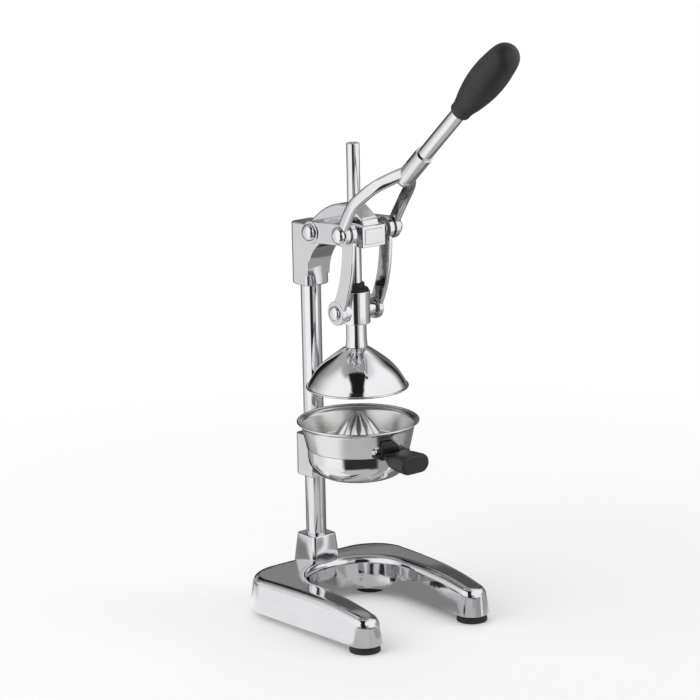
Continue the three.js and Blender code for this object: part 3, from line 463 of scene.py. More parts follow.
class Finish:
    """Nodes of one material, or of the world."""

    def __init__(self, owner):
        owner.use_nodes = True
        self.owner = owner
        self.tree = owner.node_tree
        self.tree.nodes.clear()

    def node(self, kind, settings=None, inputs=None, output=0):
        made = self.tree.nodes.new(kind)
        for name, setting in (settings or {}).items():
            if name != "stops":
                setattr(made, name, setting)
                continue
            stops = made.color_ramp.elements
            while len(stops) < len(setting):
                stops.new(1)
            for stop, (place, tone) in zip(stops, setting):
                stop.position = place
                stop.color = (*tone, 1) if isinstance(tone, tuple) else (tone, tone, tone, 1)
        for name, value in (inputs or {}).items():
            if isinstance(value, Value):
                self.tree.links.new(value.socket, made.inputs[name])
            else:
                made.inputs[name].default_value = value
        return Value(self, made.outputs[output]) if len(made.outputs) else None

    def place(self, stretch=(1, 1, 1)):
        """Where on the piece a point lies, stretched along each axis."""
        spot = self.node("ShaderNodeTexCoord", output="Object")
        if stretch == (1, 1, 1):
            return spot
        return self.node("ShaderNodeVectorMath", {"operation": "MULTIPLY"}, {0: spot, 1: stretch})

    def noise(self, scale, detail, roughness, stretch=(1, 1, 1)):
        return self.node("ShaderNodeTexNoise", None, {
            "Vector": self.place(stretch), "Scale": scale, "Detail": detail, "Roughness": roughness})

    def ramp(self, value, *stops):
        return self.node("ShaderNodeValToRGB", {"stops": stops}, {"Fac": value})

    def blend(self, mask, first, second):
        """One colour laid over another by a mask."""
        return self.node("ShaderNodeMix", {"data_type": "RGBA"}, {
            0: mask, 6: (*first, 1) if isinstance(first, tuple) else first,
            7: (*second, 1) if isinstance(second, tuple) else second}, 2)

    def bump(self, height, depth, strength=1.0):
        return self.node("ShaderNodeBump", None, {
            "Strength": strength, "Distance": depth, "Height": height})

    def close(self, **inputs):
        """Ends the material in one Principled shader."""
        named = {name.replace("_", " "): value for name, value in inputs.items()}
        shader = self.node("ShaderNodeBsdfPrincipled", None, named)
        self.node("ShaderNodeOutputMaterial", None, {"Surface": shader})
        return self.owner


def material(name):
    return Finish(bpy.data.materials.new(name))


def chrome(name, tone, ripple, ripple_size, haze):
    """Chrome plate: a mirror with a slight ripple from polishing, wiping marks and fine scratches."""
    f = material(name)
    wiping = f.ramp(f.noise(24, 4, 0.6), (0.42, 0.0), (0.72, 1.0))
    scratches = f.ramp(f.noise(900, 2, 0.5, (1, 0.12, 0.4)), (0.6, 0.0), (0.7, 1.0))
    colour = f.blend(wiping, tone, tuple(part * 0.94 for part in tone))
    roughness = haze + wiping * 0.035 + scratches * 0.03
    waves = f.noise(1 / ripple_size, 2, 0.4)
    return f.close(Base_Color=colour, Metallic=1.0, Roughness=roughness,
                   Normal=f.bump(waves + scratches * 0.02, ripple))


def drawn_chrome(name, tone, stretch):
    """Chrome on turned or drawn steel: the same plate over fine lines from the lathe or the die."""
    f = material(name)
    wiping = f.ramp(f.noise(30, 4, 0.6), (0.45, 0.0), (0.75, 1.0))
    lines = f.noise(1, 3, 0.6, stretch)
    colour = f.blend(wiping, tone, tuple(part * 0.95 for part in tone))
    return f.close(Base_Color=colour, Metallic=1.0, Roughness=0.045 + wiping * 0.03 + lines * 0.03,
                   Normal=f.bump(lines, 0.00001, 0.12))


def satin(name, tone, coarse, stretch, depth):
    """Stainless sheet, brushed along its length, with clouding where it has been wiped dry."""
    f = material(name)
    clouds = f.ramp(f.noise(45, 4, 0.6), (0.4, 0.0), (0.7, 1.0))
    brushing = f.noise(1, 4, 0.65, stretch)
    colour = f.blend(brushing, tuple(part * 0.88 for part in tone), tone)
    return f.close(Base_Color=colour, Metallic=1.0,
                   Roughness=coarse + brushing * 0.16 + clouds * 0.05,
                   Normal=f.bump(brushing, depth))


def plated(name, tone, freckle):
    """Zinc plate or plain bearing metal: dull, with a fine spangle and darker spots in the corners."""
    f = material(name)
    spangle = f.noise(700, 3, 0.6)
    spots = f.ramp(f.noise(160, 5, 0.7), (0.5, 0.0), (0.72, 1.0))
    colour = f.blend(spots, tone, freckle)
    return f.close(Base_Color=colour, Metallic=1.0, Roughness=0.26 + spangle * 0.2 + spots * 0.12,
                   Normal=f.bump(spangle, 0.00004))


def black(name, tone, worn, roughness, grain, depth):
    """Moulded black plastic or rubber: fine grain, paler where hands and the table rub it."""
    f = material(name)
    grains = f.noise(grain, 2, 0.5)
    rubbed = f.ramp(f.noise(38, 5, 0.65), (0.45, 0.0), (0.75, 1.0))
    specks = f.ramp(f.noise(grain * 0.45, 3, 0.7), (0.66, 0.0), (0.74, 1.0))
    colour = f.blend(rubbed * 0.6 + specks * 0.4, tone, worn)
    return f.close(Base_Color=colour, Roughness=roughness + rubbed * 0.08 + grains * 0.08,
                   Normal=f.bump(grains + rubbed * 0.3, depth))


CASTING = chrome("chrome_on_castings", (0.78, 0.785, 0.80), 0.0003, 0.022, 0.05)
# Faces that look at the middle plane: a rougher, unground chrome, and its colour is darkened as painted shade
# between the parts
CASTING_INSIDE_SHADED = chrome("unground_chrome_with_painted_shade", (0.46, 0.46, 0.465), 0.0004, 0.016, 0.12)
UPRIGHT_CHROME = drawn_chrome("chrome_on_drawn_bar", (0.82, 0.825, 0.84), (900, 900, 9))
TURNED_CHROME = drawn_chrome("chrome_on_turned_steel", (0.82, 0.825, 0.84), (8, 8, 1800))
TUBE_CHROME = drawn_chrome("chrome_on_handle_tube", (0.82, 0.825, 0.84), (900, 20, 20))
WALL_STEEL = satin("stainless_wall", (0.84, 0.845, 0.85), 0.13, (14, 14, 1900), 0.000012)
INSIDE_STEEL = satin("stainless_inside", (0.76, 0.76, 0.75), 0.13, (30, 30, 1100), 0.00001)
BADGE_STEEL = satin("bare_badge_steel", (0.86, 0.865, 0.87), 0.2, (1700, 1700, 20), 0.00001)
FASTENER = plated("zinc_plate", (0.66, 0.67, 0.69), (0.5, 0.5, 0.5))
BUSH_BRONZE = plated("bearing_bronze", (0.70, 0.52, 0.28), (0.42, 0.3, 0.15))
GRIP_BLACK = black("handle_grip_black", (0.015, 0.015, 0.017), (0.042, 0.042, 0.045), 0.42, 2600, 0.00009)
BOWL_GRIP_BLACK = black("bowl_grip_black", (0.011, 0.011, 0.012), (0.03, 0.03, 0.03), 0.26, 2200, 0.00003)
RUBBER_BLACK = black("rubber_black", (0.012, 0.012, 0.012), (0.04, 0.04, 0.04), 0.55, 1800, 0.00006)


# Pieces in their places

record = frame["record"]
body_of_node = {node: body for body, nodes in record["behaviour"]["bodies"].items() for node in nodes}
dressed = set()


def looks_in(face):
    """Whether a face of a turned bowl looks at the ram's axis or up out of its floor."""
    inward = face.normal.x * face.center.x + face.normal.y * face.center.y
    return inward < -0.05 * face.center.length or face.normal.z > 0.9


def faces_middle(face):
    """Whether a face of a forked casting looks at the middle plane."""
    return face.normal.x * face.center.x < -0.5 * abs(face.center.x)


def piece(node, body, finish, inside=None, angle=32, flats=False, inner=looks_in):
    """Puts a finished body in the place of its node. Its inner faces may take an inside finish."""
    mesh = body.data
    mesh.name = body.name = f"fine_{node}"
    mesh.materials.clear()
    mesh.materials.append(finish)
    if inside:
        mesh.materials.append(inside)
    for face in mesh.polygons:
        face.use_smooth = True
        face.material_index = 0
        if inside and inner(face):
            face.material_index = 1
    mesh.transform(TO_FRAME)
    mesh.set_sharp_from_angle(angle=radians(angle))
    if flats:
        worked(body, "WEIGHTED_NORMAL", keep_sharp=True, weight=100)
    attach(body, body_of_node[node])
    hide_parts(node)
    dressed.add(node)


# Base casting

REAR_STEPS = 8
CORNER_STEPS = 20
TIP_STEPS = 12
FLANK_STEPS = 20
SHOULDER_STEPS = 10


def base_runs(inset):
    """Right half of the base's plan line: the outer run from the rear's middle to the tip, and the
    inner run from the arch's top to the tip, with matching points."""
    corner = (BASE_HALF - BASE_CORNER, BASE_REAR - BASE_CORNER)
    rear = [Vector((corner[0] * k / REAR_STEPS, BASE_REAR - inset)) for k in range(REAR_STEPS)]
    outer = rear + arc(corner, BASE_CORNER - inset, 90, 0, CORNER_STEPS)
    inner = arc((0, ARCH_Y), ARCH_RADIUS + inset, 90, 0, REAR_STEPS + CORNER_STEPS)
    outer_tip = arc((TIP_X, TIP_Y), TIP_RADIUS - inset, 0, -90, TIP_STEPS)
    inner_tip = arc((TIP_X, TIP_Y), TIP_RADIUS - inset, 180, 270, TIP_STEPS)
    for run, tip in ((outer, outer_tip), (inner, inner_tip)):
        start = run[-1].copy()
        run += [start.lerp(tip[0], k / FLANK_STEPS) for k in range(1, FLANK_STEPS)] + tip
    return outer, inner


def base_crown(y):
    """Height of the base's crown along its length."""
    place = y - CROWN_Y
    fall, length = CROWN_REAR_FALL if place > 0 else CROWN_FRONT_FALL
    return BASE_FOOT + CROWN_RISE - fall * (place / length) ** 2


def base_skin():
    """Outer and inner skin of the hollow casting. A level is an inset from the plan line, a drop below
    the crown, or None at the foot, and a rise over the foot."""
    points, faces = [], []
    outer_levels = [(0.6, None, 0), (0, None, 0.9)]
    for k in range(SHOULDER_STEPS + 1):
        turn = radians(90 * k / SHOULDER_STEPS)
        outer_levels.append((SHOULDER - (SHOULDER - DRAFT) * cos(turn), SHOULDER_DROP * (1 - sin(turn)), 0))
    inner_levels = [(BASE_WALL, None, 0), (BASE_WALL + DRAFT, BASE_WALL + SHOULDER_DROP, 0),
                    (BASE_WALL + SHOULDER * 0.6, BASE_WALL + 2.5, 0), (BASE_WALL + SHOULDER, BASE_WALL, 0)]

    def height(y, level):
        return BASE_FOOT + level[2] if level[1] is None else base_crown(y) - level[1]

    def ring_at(level):
        outer, inner = base_runs(level[0])
        half = outer + inner[-2:0:-1]
        middle = inner[0]
        plan = half + [middle] + [Vector((-spot.x, spot.y)) for spot in half[:0:-1]]
        start = len(points)
        points.extend(Vector((spot.x, spot.y, height(spot.y, level))) for spot in plan)
        return list(range(start, len(points)))

    def walls(one, other):
        count = len(one)
        faces.extend([one[k], one[(k + 1) % count], other[(k + 1) % count], other[k]] for k in range(count))

    def lid(level, strips):
        outer, inner = base_runs(level[0])
        for side in (1, -1):
            grid = []
            for a, b in zip(outer, inner):
                row = []
                for k in range(strips + 1):
                    spot = a.lerp(b, k / strips)
                    row.append(len(points))
                    points.append(Vector((side * spot.x, spot.y, height(spot.y, level))))
                grid.append(row)
            for row, after in zip(grid, grid[1:]):
                faces.extend([row[k], row[k + 1], after[k + 1], after[k]] for k in range(strips))

    outside = [ring_at(level) for level in outer_levels]
    inside = [ring_at(level) for level in inner_levels]
    for rings in (outside, inside):
        for one, other in zip(rings, rings[1:]):
            walls(one, other)
    walls(outside[0], inside[0])
    lid(outer_levels[-1], strips=8)
    lid(inner_levels[-1], strips=4)
    return skin(points, faces)


def tower_ring(half, chamfer, z):
    """The socket's plan at a height: a square with its corners cut off, as eight points."""
    edge = half - chamfer
    return [Vector((x, y + COLUMN_Y, z)) for x, y in (
        (half, -edge), (half, edge), (edge, half), (-edge, half),
        (-half, edge), (-half, -edge), (-edge, -half), (edge, -half))]


PADS = {"front_right": (TIP_X, TIP_Y), "front_left": (-TIP_X, TIP_Y),
        "rear_right": (REAR_PAD_X, REAR_PAD_Y), "rear_left": (-REAR_PAD_X, REAR_PAD_Y)}


def make_base():
    body = base_skin()
    tower = softened(lofted([
        tower_ring(TOWER_HALF, TOWER_CHAMFER, TOWER_FOOT), tower_ring(TOWER_HALF, TOWER_CHAMFER, TOWER_STEP),
        tower_ring(TOWER_TOP_HALF, TOWER_CHAMFER, TOWER_LIP),
        tower_ring(TOWER_TOP_HALF - 0.9, TOWER_CHAMFER - 0.5, TOWER_TOP)]), 0.5, 2, 20)
    joined(body, tower, bar(BOSS_RADIUS, BOSS_FOOT, TOWER_STEP, at(0, COLUMN_Y), 64))
    for x, y in PADS.values():
        joined(body, bar(8, BASE_FOOT, base_crown(y) - 2.5, at(x, y), 32))
        cut(body, bar(FOOT_SCREW_HOLE, BASE_FOOT - OVERRUN, 20.3, at(x, y), 24))
    cut(body, column_hole(COLUMN_SEAT, TOWER_TOP + 7.5),
        bar(BOLT_HOLE, BOSS_FOOT - OVERRUN, COLUMN_SEAT + OVERRUN, at(0, COLUMN_Y), 32))
    piece("base_casting", body, CASTING, angle=28)


make_base()

# Rubber pads: a wide foot with a groove round it, and a seat for the screw's head
for place, (x, y) in PADS.items():
    pad = turned(eased([
        (5, 0), (16.6, 0, 0.6), (16.6, 2.6, 0.4), (16.1, 3.1, 0.3), (16.3, 3.6, 0.3),
        (15, BASE_FOOT - GAP, 0.5), (FOOT_SCREW_HOLE, BASE_FOOT - GAP), (FOOT_SCREW_HOLE, 4), (5, 4),
        (5, 0)]), 72, at(x, y))
    piece(f"foot_pad_{place}", pad, RUBBER_BLACK)

# Column: a drawn bar, bored at its foot for the bolt that holds it
body = ring(BOLT_HOLE, COLUMN_RADIUS, COLUMN_FOOT, COLUMN_BORE_TOP + 1.6, at(0, COLUMN_Y), 96)
joined(body, bar(COLUMN_RADIUS, COLUMN_BORE_TOP, COLUMN_TOP, at(0, COLUMN_Y), 96))
piece("column", body, UPRIGHT_CHROME)


# Head casting

def collar(low, high, edge, nose=0):
    """Block round the column with rounded rear corners, and a rounded nose where one is given."""
    rear = COLUMN_Y + COLLAR_HALF
    outline = eased([
        (-COLLAR_HALF, COLLAR_FRONT, COLLAR_EDGE), (COLLAR_HALF, COLLAR_FRONT, COLLAR_EDGE),
        (COLLAR_HALF, rear, COLLAR_CORNER), (-COLLAR_HALF, rear, COLLAR_CORNER)], closed=True, steps=8)
    if nose:
        turns = [radians(degrees) for degrees in range(0, 91, 6)]
        half = [(COLLAR_HALF * sin(t) ** 0.75, COLLAR_FRONT + nose - nose * cos(t) ** 0.75) for t in turns]
        outline = [Vector((-x, y)) for x, y in half[:0:-1]] + [Vector(spot) for spot in half] + [
            spot for spot in outline if spot.y > COLUMN_Y]
    return softened(plate(outline, low, high), edge, 4, 40)


def head_side():
    """Side outline of the arm: it swells up to the shelf behind the nose, and a cove joins its
    underside to the collar."""
    line = [Vector((COLUMN_Y, HEAD_FLOOR - COVE_RADIUS)), Vector((COLUMN_Y, HEAD_CROWN))]
    middle = (HEAD_RISE_FOOT + HEAD_RISE_TOP) / 2
    a, b = Vector((HEAD_RISE_FOOT, HEAD_CROWN)), Vector((middle, HEAD_CROWN))
    c, d = Vector((middle, HEAD_SHELF)), Vector((HEAD_RISE_TOP, HEAD_SHELF))
    for k in range(13):
        t = k / 12
        line.append(a * (1 - t) ** 3 + b * 3 * t * (1 - t) ** 2 + c * 3 * t * t * (1 - t) + d * t ** 3)
    line += [Vector((HEAD_NOSE, HEAD_SHELF)), Vector((HEAD_NOSE, HEAD_FLOOR))]
    return line + arc((COLLAR_FRONT + 1 - COVE_RADIUS, HEAD_FLOOR - COVE_RADIUS), COVE_RADIUS, 90, 0, 24)


def hump_side():
    """Side outline of the arched hump that guides the ram."""
    line = bent(Vector((HUMP_BACK, HEAD_CROWN - OVERRUN)), Vector((HUMP_BACK / 2, HUMP_TOP)),
                Vector((HUMP_PEAK_HALF, HUMP_TOP)), 16)
    return line + [Vector((-HUMP_PEAK_HALF, HUMP_TOP)), Vector((-26, 440)), Vector((HUMP_FRONT, HEAD_SHELF)),
                   Vector((HUMP_FRONT, HEAD_SHELF - OVERRUN)), Vector((HEAD_RISE_TOP, HEAD_CROWN - OVERRUN))]


def make_head():
    body = collar(HEAD_FLOOR - COLLAR_LENGTH, HEAD_CROWN, 2.0, COLLAR_NOSE)
    joined(body, softened(plate(head_side(), -HEAD_HALF, HEAD_HALF, SIDE), 1.1, 3, 40))
    joined(body, softened(plate(hump_side(), -HUMP_HALF, HUMP_HALF, SIDE), 2.4, 4, 30))
    boss_end = CHEEK_INNER - GAP
    joined(body, bar(AXLE_BOSS, -boss_end, boss_end, across(AXLE), 64, 0.8))
    cut(body, pin_hole(AXLE, -40, 40),
        column_hole(HEAD_FLOOR - COLLAR_LENGTH - 4.5, COLUMN_TOP + GAP),
        bar(BUSH_RADIUS + PLAY, HEAD_FLOOR - OVERRUN, HUMP_TOP + 4, at(), 72))
    cut(body, *[grub_hole(z) for z in HEAD_GRUBS])
    recess_half, margin = BADGE_HALF + GAP, BADGE_MARGIN - GAP
    cut(body, block((-recess_half, HEAD_NOSE - OVERRUN, HEAD_FLOOR + margin),
                    (recess_half, HEAD_NOSE + BADGE_SUNK + GAP, HEAD_SHELF - margin)))
    piece("head_casting", body, CASTING, angle=28, flats=True)


make_head()

# Plate let into the head's nose
body = block((-BADGE_HALF, HEAD_NOSE - BADGE_PROUD, HEAD_FLOOR + BADGE_MARGIN),
             (BADGE_HALF, HEAD_NOSE + BADGE_SUNK, HEAD_SHELF - BADGE_MARGIN), 0.35)
piece("badge_plate", body, BADGE_STEEL, flats=True)

piece("ram_bush", ring(BUSH_BORE, BUSH_RADIUS, HEAD_FLOOR, HUMP_TOP - BUSH_SUNK, ease=0.4), BUSH_BRONZE)


# Pins

def domed_bolt(pivot, side, face, radius, height, shank, shank_end):
    """Polished round-headed bolt that stands out on one side."""
    turns = [radians(degrees) for degrees in range(0, 90, 6)]
    dome = [(radius * cos(t) ** 0.85, face + height * sin(t) ** 0.95) for t in turns]
    profile = [(0, shank_end), (shank, shank_end), (shank, face), *dome, (0, face + height)]
    return turned(profile, 64, across(pivot, side))


def crank_nut(side):
    """Barrel nut whose sleeve fills the link's eye, under a flat head on the inner side."""
    head_top, sleeve_top = LINK_INNER - GAP, LINK_OUTER - GAP
    return turned(eased([
        (0, NUT_FOOT), (SPACER_RADIUS, NUT_FOOT, 0.8), (SPACER_RADIUS, head_top, 0.3), (PIN_RADIUS, head_top),
        (PIN_RADIUS, sleeve_top, 0.3), (0, sleeve_top)]), 48, across(CRANK, side))


for name, side in (("right", 1), ("left", -1)):
    for bolt, (pivot, face, *sizes) in BOLTS.items():
        piece(f"{bolt}_bolt_{name}", domed_bolt(pivot, side, face + GAP, *sizes), TURNED_CHROME)
    spacer = ring(PIN_RADIUS + GAP, SPACER_RADIUS, LINK_OUTER + 2 * GAP, CHEEK_INNER - GAP,
                  across(CRANK, side), 48, 0.3)
    piece(f"crank_spacer_{name}", spacer, FASTENER)
    piece(f"crank_nut_{name}", crank_nut(side), FASTENER)


# Links

def make_link():
    """Bowed flat bar with an eye at each end."""
    a, c = Vector(CRANK), Vector(TRUNNION)
    b = Vector((LINK_BOW, c.y + 0.39 * (a.y - c.y)))
    steps = 24
    front, back = [], []
    for k, spot in enumerate(bent(a, b, c, steps)):
        t = k / steps
        along = ((b - a) * (1 - t) + (c - b) * t).normalized()
        out = Vector((along.y, -along.x)) * LINK_HALF
        front.append(spot + out)
        back.append(spot - out)
    body = softened(plate(front + back[::-1], LINK_INNER + 0.4, LINK_OUTER - 0.7, SIDE), 1.2, 3, 40)
    joined(body, eye(CRANK, CRANK_EYE, LINK_INNER, LINK_OUTER),
           eye(TRUNNION, TRUNNION_EYE, LINK_INNER, LINK_OUTER))
    return cut(body, pin_hole(CRANK, 15, 35), pin_hole(TRUNNION, 15, 35))


right_link = make_link()
left_link = mirrored(right_link)
# The links' inner faces take the darker chrome, painted shade between the two links
piece("link_right", right_link, CASTING, CASTING_INSIDE_SHADED, flats=True, inner=faces_middle)
piece("link_left", left_link, CASTING, CASTING_INSIDE_SHADED, flats=True, inner=faces_middle)


# Lever yoke, handle tube and grip

# Where the arm passes from the crank to the socket's foot, as shares of the way out, forward and up
ARM_SHARES = ((1, 0, 0.02), (1, 0.092, 0.185), (1, 0.298, 0.495), (0.88, 0.498, 0.69), (0.7, 0.682, 0.85),
              (0.42, 0.852, 0.97), (0.12, 1.06, 1.09))


def make_arm():
    """Forked arm: an oval bar that rises from the crank's boss and turns in under the socket."""
    forward, up = SOCKET_FOOT[0] - CRANK[0], SOCKET_FOOT[1] - CRANK[1]
    route = flowing([(ARM_OUT * out, CRANK[0] + forward * on, CRANK[1] + up * rise)
                     for out, on, rise in ARM_SHARES], 8)
    points_round = 28
    rings = []
    for k, spot in enumerate(route):
        along = (route[min(k + 1, len(route) - 1)] - route[max(k - 1, 0)]).normalized()
        thick = (Vector((1, 0, 0)) - along * along.x).normalized()
        wide = along.cross(thick)
        one = []
        for step in range(points_round):
            turn = tau * step / points_round
            c, s = cos(turn), sin(turn)
            squared = (abs(c) ** ARM_SQUARENESS + abs(s) ** ARM_SQUARENESS) ** (-1 / ARM_SQUARENESS)
            one.append(spot + (thick * ARM_THICK * c + wide * ARM_WIDE * s) * squared)
        rings.append(one)
    return lofted(rings)


def make_yoke():
    """Two cheeks with eyes, the forked arms and the handle's socket, in one casting."""
    a, b = Vector(AXLE), Vector(CRANK)
    along = (b - a).normalized()
    rise = Vector((-along.y, along.x)) * CHEEK_HALF
    outline = [a + rise, b + rise, b - rise, a - rise]
    right = softened(plate(outline, CHEEK_INNER, CHEEK_INNER + CHEEK_THICK, SIDE), 1)
    joined(right, make_arm(), eye(AXLE, CHEEK_EYE, CHEEK_INNER, CHEEK_FACE),
           eye(CRANK, CHEEK_EYE, CHEEK_INNER, CHEEK_FACE))
    for pivot in (AXLE, CRANK):
        cut(right, bar(EYE_CLEARANCE, CHEEK_FACE, 50, across(pivot), 72),
            bar(EYE_CLEARANCE, 22, CHEEK_INNER, across(pivot), 72), pin_hole(pivot, 20, 50))
    root = turned(arc((0, 0), ROOT_RADIUS, -90, 90, 20), 64, ALONG_HANDLE)
    socket = turned(eased([
        (0, SOCKET_START), (SOCKET_RADIUS, SOCKET_START, 0.7), (SOCKET_RADIUS, SOCKET_LENGTH, 0.6),
        (0, SOCKET_LENGTH)]), 80, ALONG_HANDLE)
    body = joined(right, mirrored(right), root, socket)
    cut(body, bar(TUBE_RADIUS + PLAY, SOCKET_FLOOR, SOCKET_LENGTH + OVERRUN, ALONG_HANDLE, 80))
    # The cheeks' inner faces take the darker chrome, painted shade between the two cheeks
    piece("lever_yoke", body, CASTING, CASTING_INSIDE_SHADED, angle=30, flats=True, inner=faces_middle)


make_yoke()
piece("handle_tube", ring(TUBE_RADIUS - TUBE_WALL, TUBE_RADIUS, SOCKET_FLOOR + GAP, GRIP_FOOT + GRIP_BORE,
                          ALONG_HANDLE, 80, 0.3), TUBE_CHROME)


# Shares of the grip's length and of its largest radius
GRIP_LINE = ((0, 0.59), (0.05, 0.596), (0.1, 0.645), (0.18, 0.754), (0.28, 0.866), (0.4, 0.962), (0.52, 1),
             (0.64, 0.986), (0.75, 0.924), (0.84, 0.858), (0.91, 0.747), (0.96, 0.54), (0.985, 0.305), (1, 0))


def make_grip():
    """Oval grip that is slipped over the tube's end."""
    line = [(spot.x * GRIP_RADIUS, GRIP_FOOT + spot.y * GRIP_LENGTH)
            for spot in flowing([(radius, place) for place, radius in GRIP_LINE], 5)]
    line[0] = (line[0][0] - GRIP_FOOT_EASE, line[0][1])
    line.insert(1, (line[1][0], GRIP_FOOT + GRIP_FOOT_EASE))
    bore, bore_end = TUBE_RADIUS + PLAY, GRIP_FOOT + GRIP_BORE + GAP
    body = turned([
        (0, bore_end), (bore, bore_end), (bore, GRIP_FOOT),
        *[(max(radius, 0), place) for radius, place in line[:-1]], (0, GRIP_FOOT + GRIP_LENGTH)],
        96, ALONG_HANDLE)
    piece("handle_grip", body, GRIP_BLACK)


make_grip()


# Ram and bell

# Ram: a drawn bar, seated in the crosshead
seat = CROSSHEAD_TOP - RAM_SEAT
body = turned(eased([(0, seat), (RAM_RADIUS, seat, 0.4), (RAM_RADIUS, RAM_TOP, 1.8), (0, RAM_TOP)]), 80)
piece("ram_rod", body, UPRIGHT_CHROME)

# Turned block with the two trunnions, bored for the ram, the bell's screw and the pins
body = turned(eased([
    (0, CROSSHEAD_FOOT), (CROSSHEAD_RADIUS, CROSSHEAD_FOOT, 0.9), (CROSSHEAD_RADIUS, CROSSHEAD_TOP, 0.9),
    (0, CROSSHEAD_TOP)]), 96)
joined(body, bar(TRUNNION_RADIUS, -TRUNNION_REACH, TRUNNION_REACH, across(TRUNNION), 64, 1.2))
cut(body, bar(RAM_RADIUS + PLAY, CROSSHEAD_TOP - RAM_SEAT - GAP, CROSSHEAD_TOP + 5, at(), 72),
    bar(BOLT_HOLE, CROSSHEAD_FOOT - 5, CROSSHEAD_FOOT + 12, at(), 32))
for side in (1, -1):
    cut(body, pin_hole(TRUNNION, 12.4, 30, side))
piece("crosshead", body, TURNED_CHROME, angle=28)

# Rubber buffer round the ram: a wide foot with a collar on it
foot, bore = CROSSHEAD_TOP + GAP, RAM_RADIUS + GAP
body = turned(eased([
    (bore, foot), (14.4, foot, 0.8), (13.6, foot + 2.2, 1), (9.7, foot + 4, 0.8), (9.7, foot + 8.2, 1.2),
    (bore, foot + 8.2), (bore, foot)]), 72)
piece("ram_buffer", body, RUBBER_BLACK)

# Neck between crosshead and bell, a little wider at its foot
body = turned(eased([
    (BOLT_HOLE, NECK_FOOT), (NECK_RADIUS + 0.9, NECK_FOOT, 0.4), (NECK_RADIUS + 0.2, NECK_FOOT + 7, 4),
    (NECK_RADIUS, NECK_TOP - 6, 3), (NECK_RADIUS, NECK_TOP, 0.5), (BOLT_HOLE, NECK_TOP),
    (BOLT_HOLE, NECK_FOOT)]), 80)
piece("bell_neck", body, TURNED_CHROME)

# Shares of the bell's radius and of its depth
BELL_LINE = ((0.216, 0), (0.343, 0.098), (0.618, 0.358), (0.799, 0.592), (0.925, 0.835), (0.972, 0.95))


def bell_line(inward):
    return flowing([(BELL_RADIUS * share - inward, BELL_TOP - BELL_DEPTH * drop - inward / 2)
                    for share, drop in BELL_LINE], 7)


# Pressed bell with a rolled rim
bead = arc((BELL_RADIUS - 0.65, BELL_TOP - BELL_DEPTH), 1.45, 110, -180, 10, 1.2)
body = turned([(BOLT_HOLE, BELL_TOP), *bell_line(0), *bead, *bell_line(BELL_WALL)[::-1],
               (BOLT_HOLE, BELL_TOP - BELL_WALL), (BOLT_HOLE, BELL_TOP)], 144)
piece("press_bell", body, TURNED_CHROME, inside=INSIDE_STEEL)


# Funnel and its bracket

# Shares of the funnel's radius and of its depth
FUNNEL_LINE = ((1, 0), (0.994, 0.2), (0.985, 0.4), (0.957, 0.56), (0.86, 0.8), (0.764, 0.91), (0.69, 0.955))


def funnel_line(inward):
    """The funnel's wall from its rim down to the end of its spout, moved inwards."""
    line = flowing([
        (FUNNEL_RADIUS * share - inward, FUNNEL_RIM - FUNNEL_DEPTH * drop + (inward if drop else 0))
        for share, drop in FUNNEL_LINE], 5)
    floor = FUNNEL_RIM - FUNNEL_DEPTH
    return line + eased([
        line[-1], (30 - inward, floor + 1.2 + inward, 4), (SPOUT_RADIUS - inward, floor + inward, 1.5),
        (SPOUT_RADIUS - inward, floor - 3)])[1:]


body = turned([*funnel_line(0), *funnel_line(FUNNEL_WALL)[::-1], funnel_line(0)[0]], 144)
for side in (-1, 1):
    cut(body, bar(FUNNEL_SCREW_HOLE, 40, 60, rearwards(side * FUNNEL_SCREW_X, FUNNEL_SCREW_Z), 32))
piece("funnel_bowl", body, TURNED_CHROME, inside=INSIDE_STEEL)

# Collar on the column with an arm that is cut to the funnel's wall
low, high = BRACKET_ARM
body = collar(BRACKET_TOP - BRACKET_HEIGHT, BRACKET_TOP, 2.6)
joined(body, block((-12, 40, low), (12, COLUMN_Y, high), 1.2))
clear = [(radius + GAP, z) for radius, z in funnel_line(0)]
cut(body, turned([(0, 230), (clear[0][0], 230), *clear, (0, clear[-1][1])], 144),
    column_hole(130, 200), grub_hole(BRACKET_TOP - BRACKET_HEIGHT / 2))
for side in (-1, 1):
    cut(body, bar(FUNNEL_SCREW_HOLE, 40, 62.3, rearwards(side * FUNNEL_SCREW_X, FUNNEL_SCREW_Z), 32))
piece("bowl_bracket", body, CASTING, angle=28, flats=True)


# Strainer, reamer and the strainer's handle

def strainer_radius(z):
    """Radius of the strainer's cone at a height."""
    share = (z - CONE_FOOT[1]) / (CONE_TOP[1] - CONE_FOOT[1])
    return CONE_FOOT[0] + share * (CONE_TOP[0] - CONE_FOOT[0])


def make_strainer():
    """Strainer bowl: a cone with a rolled rim over a skirt that stands in the funnel."""
    wall = STRAINER_WALL
    under = STRAINER_FLOOR - wall
    foot, top = CONE_FOOT[0], CONE_TOP[0]
    profile = eased([
        (GRUB_HOLE, under), (SKIRT_RADIUS, under, 1.5), (SKIRT_RADIUS, STRAINER_FOOT, 0.3),
        (foot + 0.2, STRAINER_FOOT, 0.9), (top, CONE_TOP[1], 3), (63.4, 214.6)])
    profile += arc(RIM_BEAD, 1.5, -70, 250, 16, 1.2)
    profile += eased([
        (62.3, 214.9), (top - wall, CONE_TOP[1] + 0.5, 3), (foot - wall, STRAINER_FOOT + 1.2, 2),
        (SKIRT_RADIUS - wall, STRAINER_FOOT + 0.6, 1), (SKIRT_RADIUS - wall, STRAINER_FLOOR, 3),
        (GRUB_HOLE, STRAINER_FLOOR), (GRUB_HOLE, under)])
    body = turned(profile, 144)
    drains = 24
    for k in range(drains):
        turn = tau * k / drains
        spot = Vector((cos(turn), sin(turn))) * DRAIN_RINGS[k % 2]
        cut(body, bar(DRAIN_RADIUS, under - 4, STRAINER_FLOOR + 4, at(*spot), 20))
    piece("strainer_bowl", body, WALL_STEEL, inside=INSIDE_STEEL)


make_strainer()


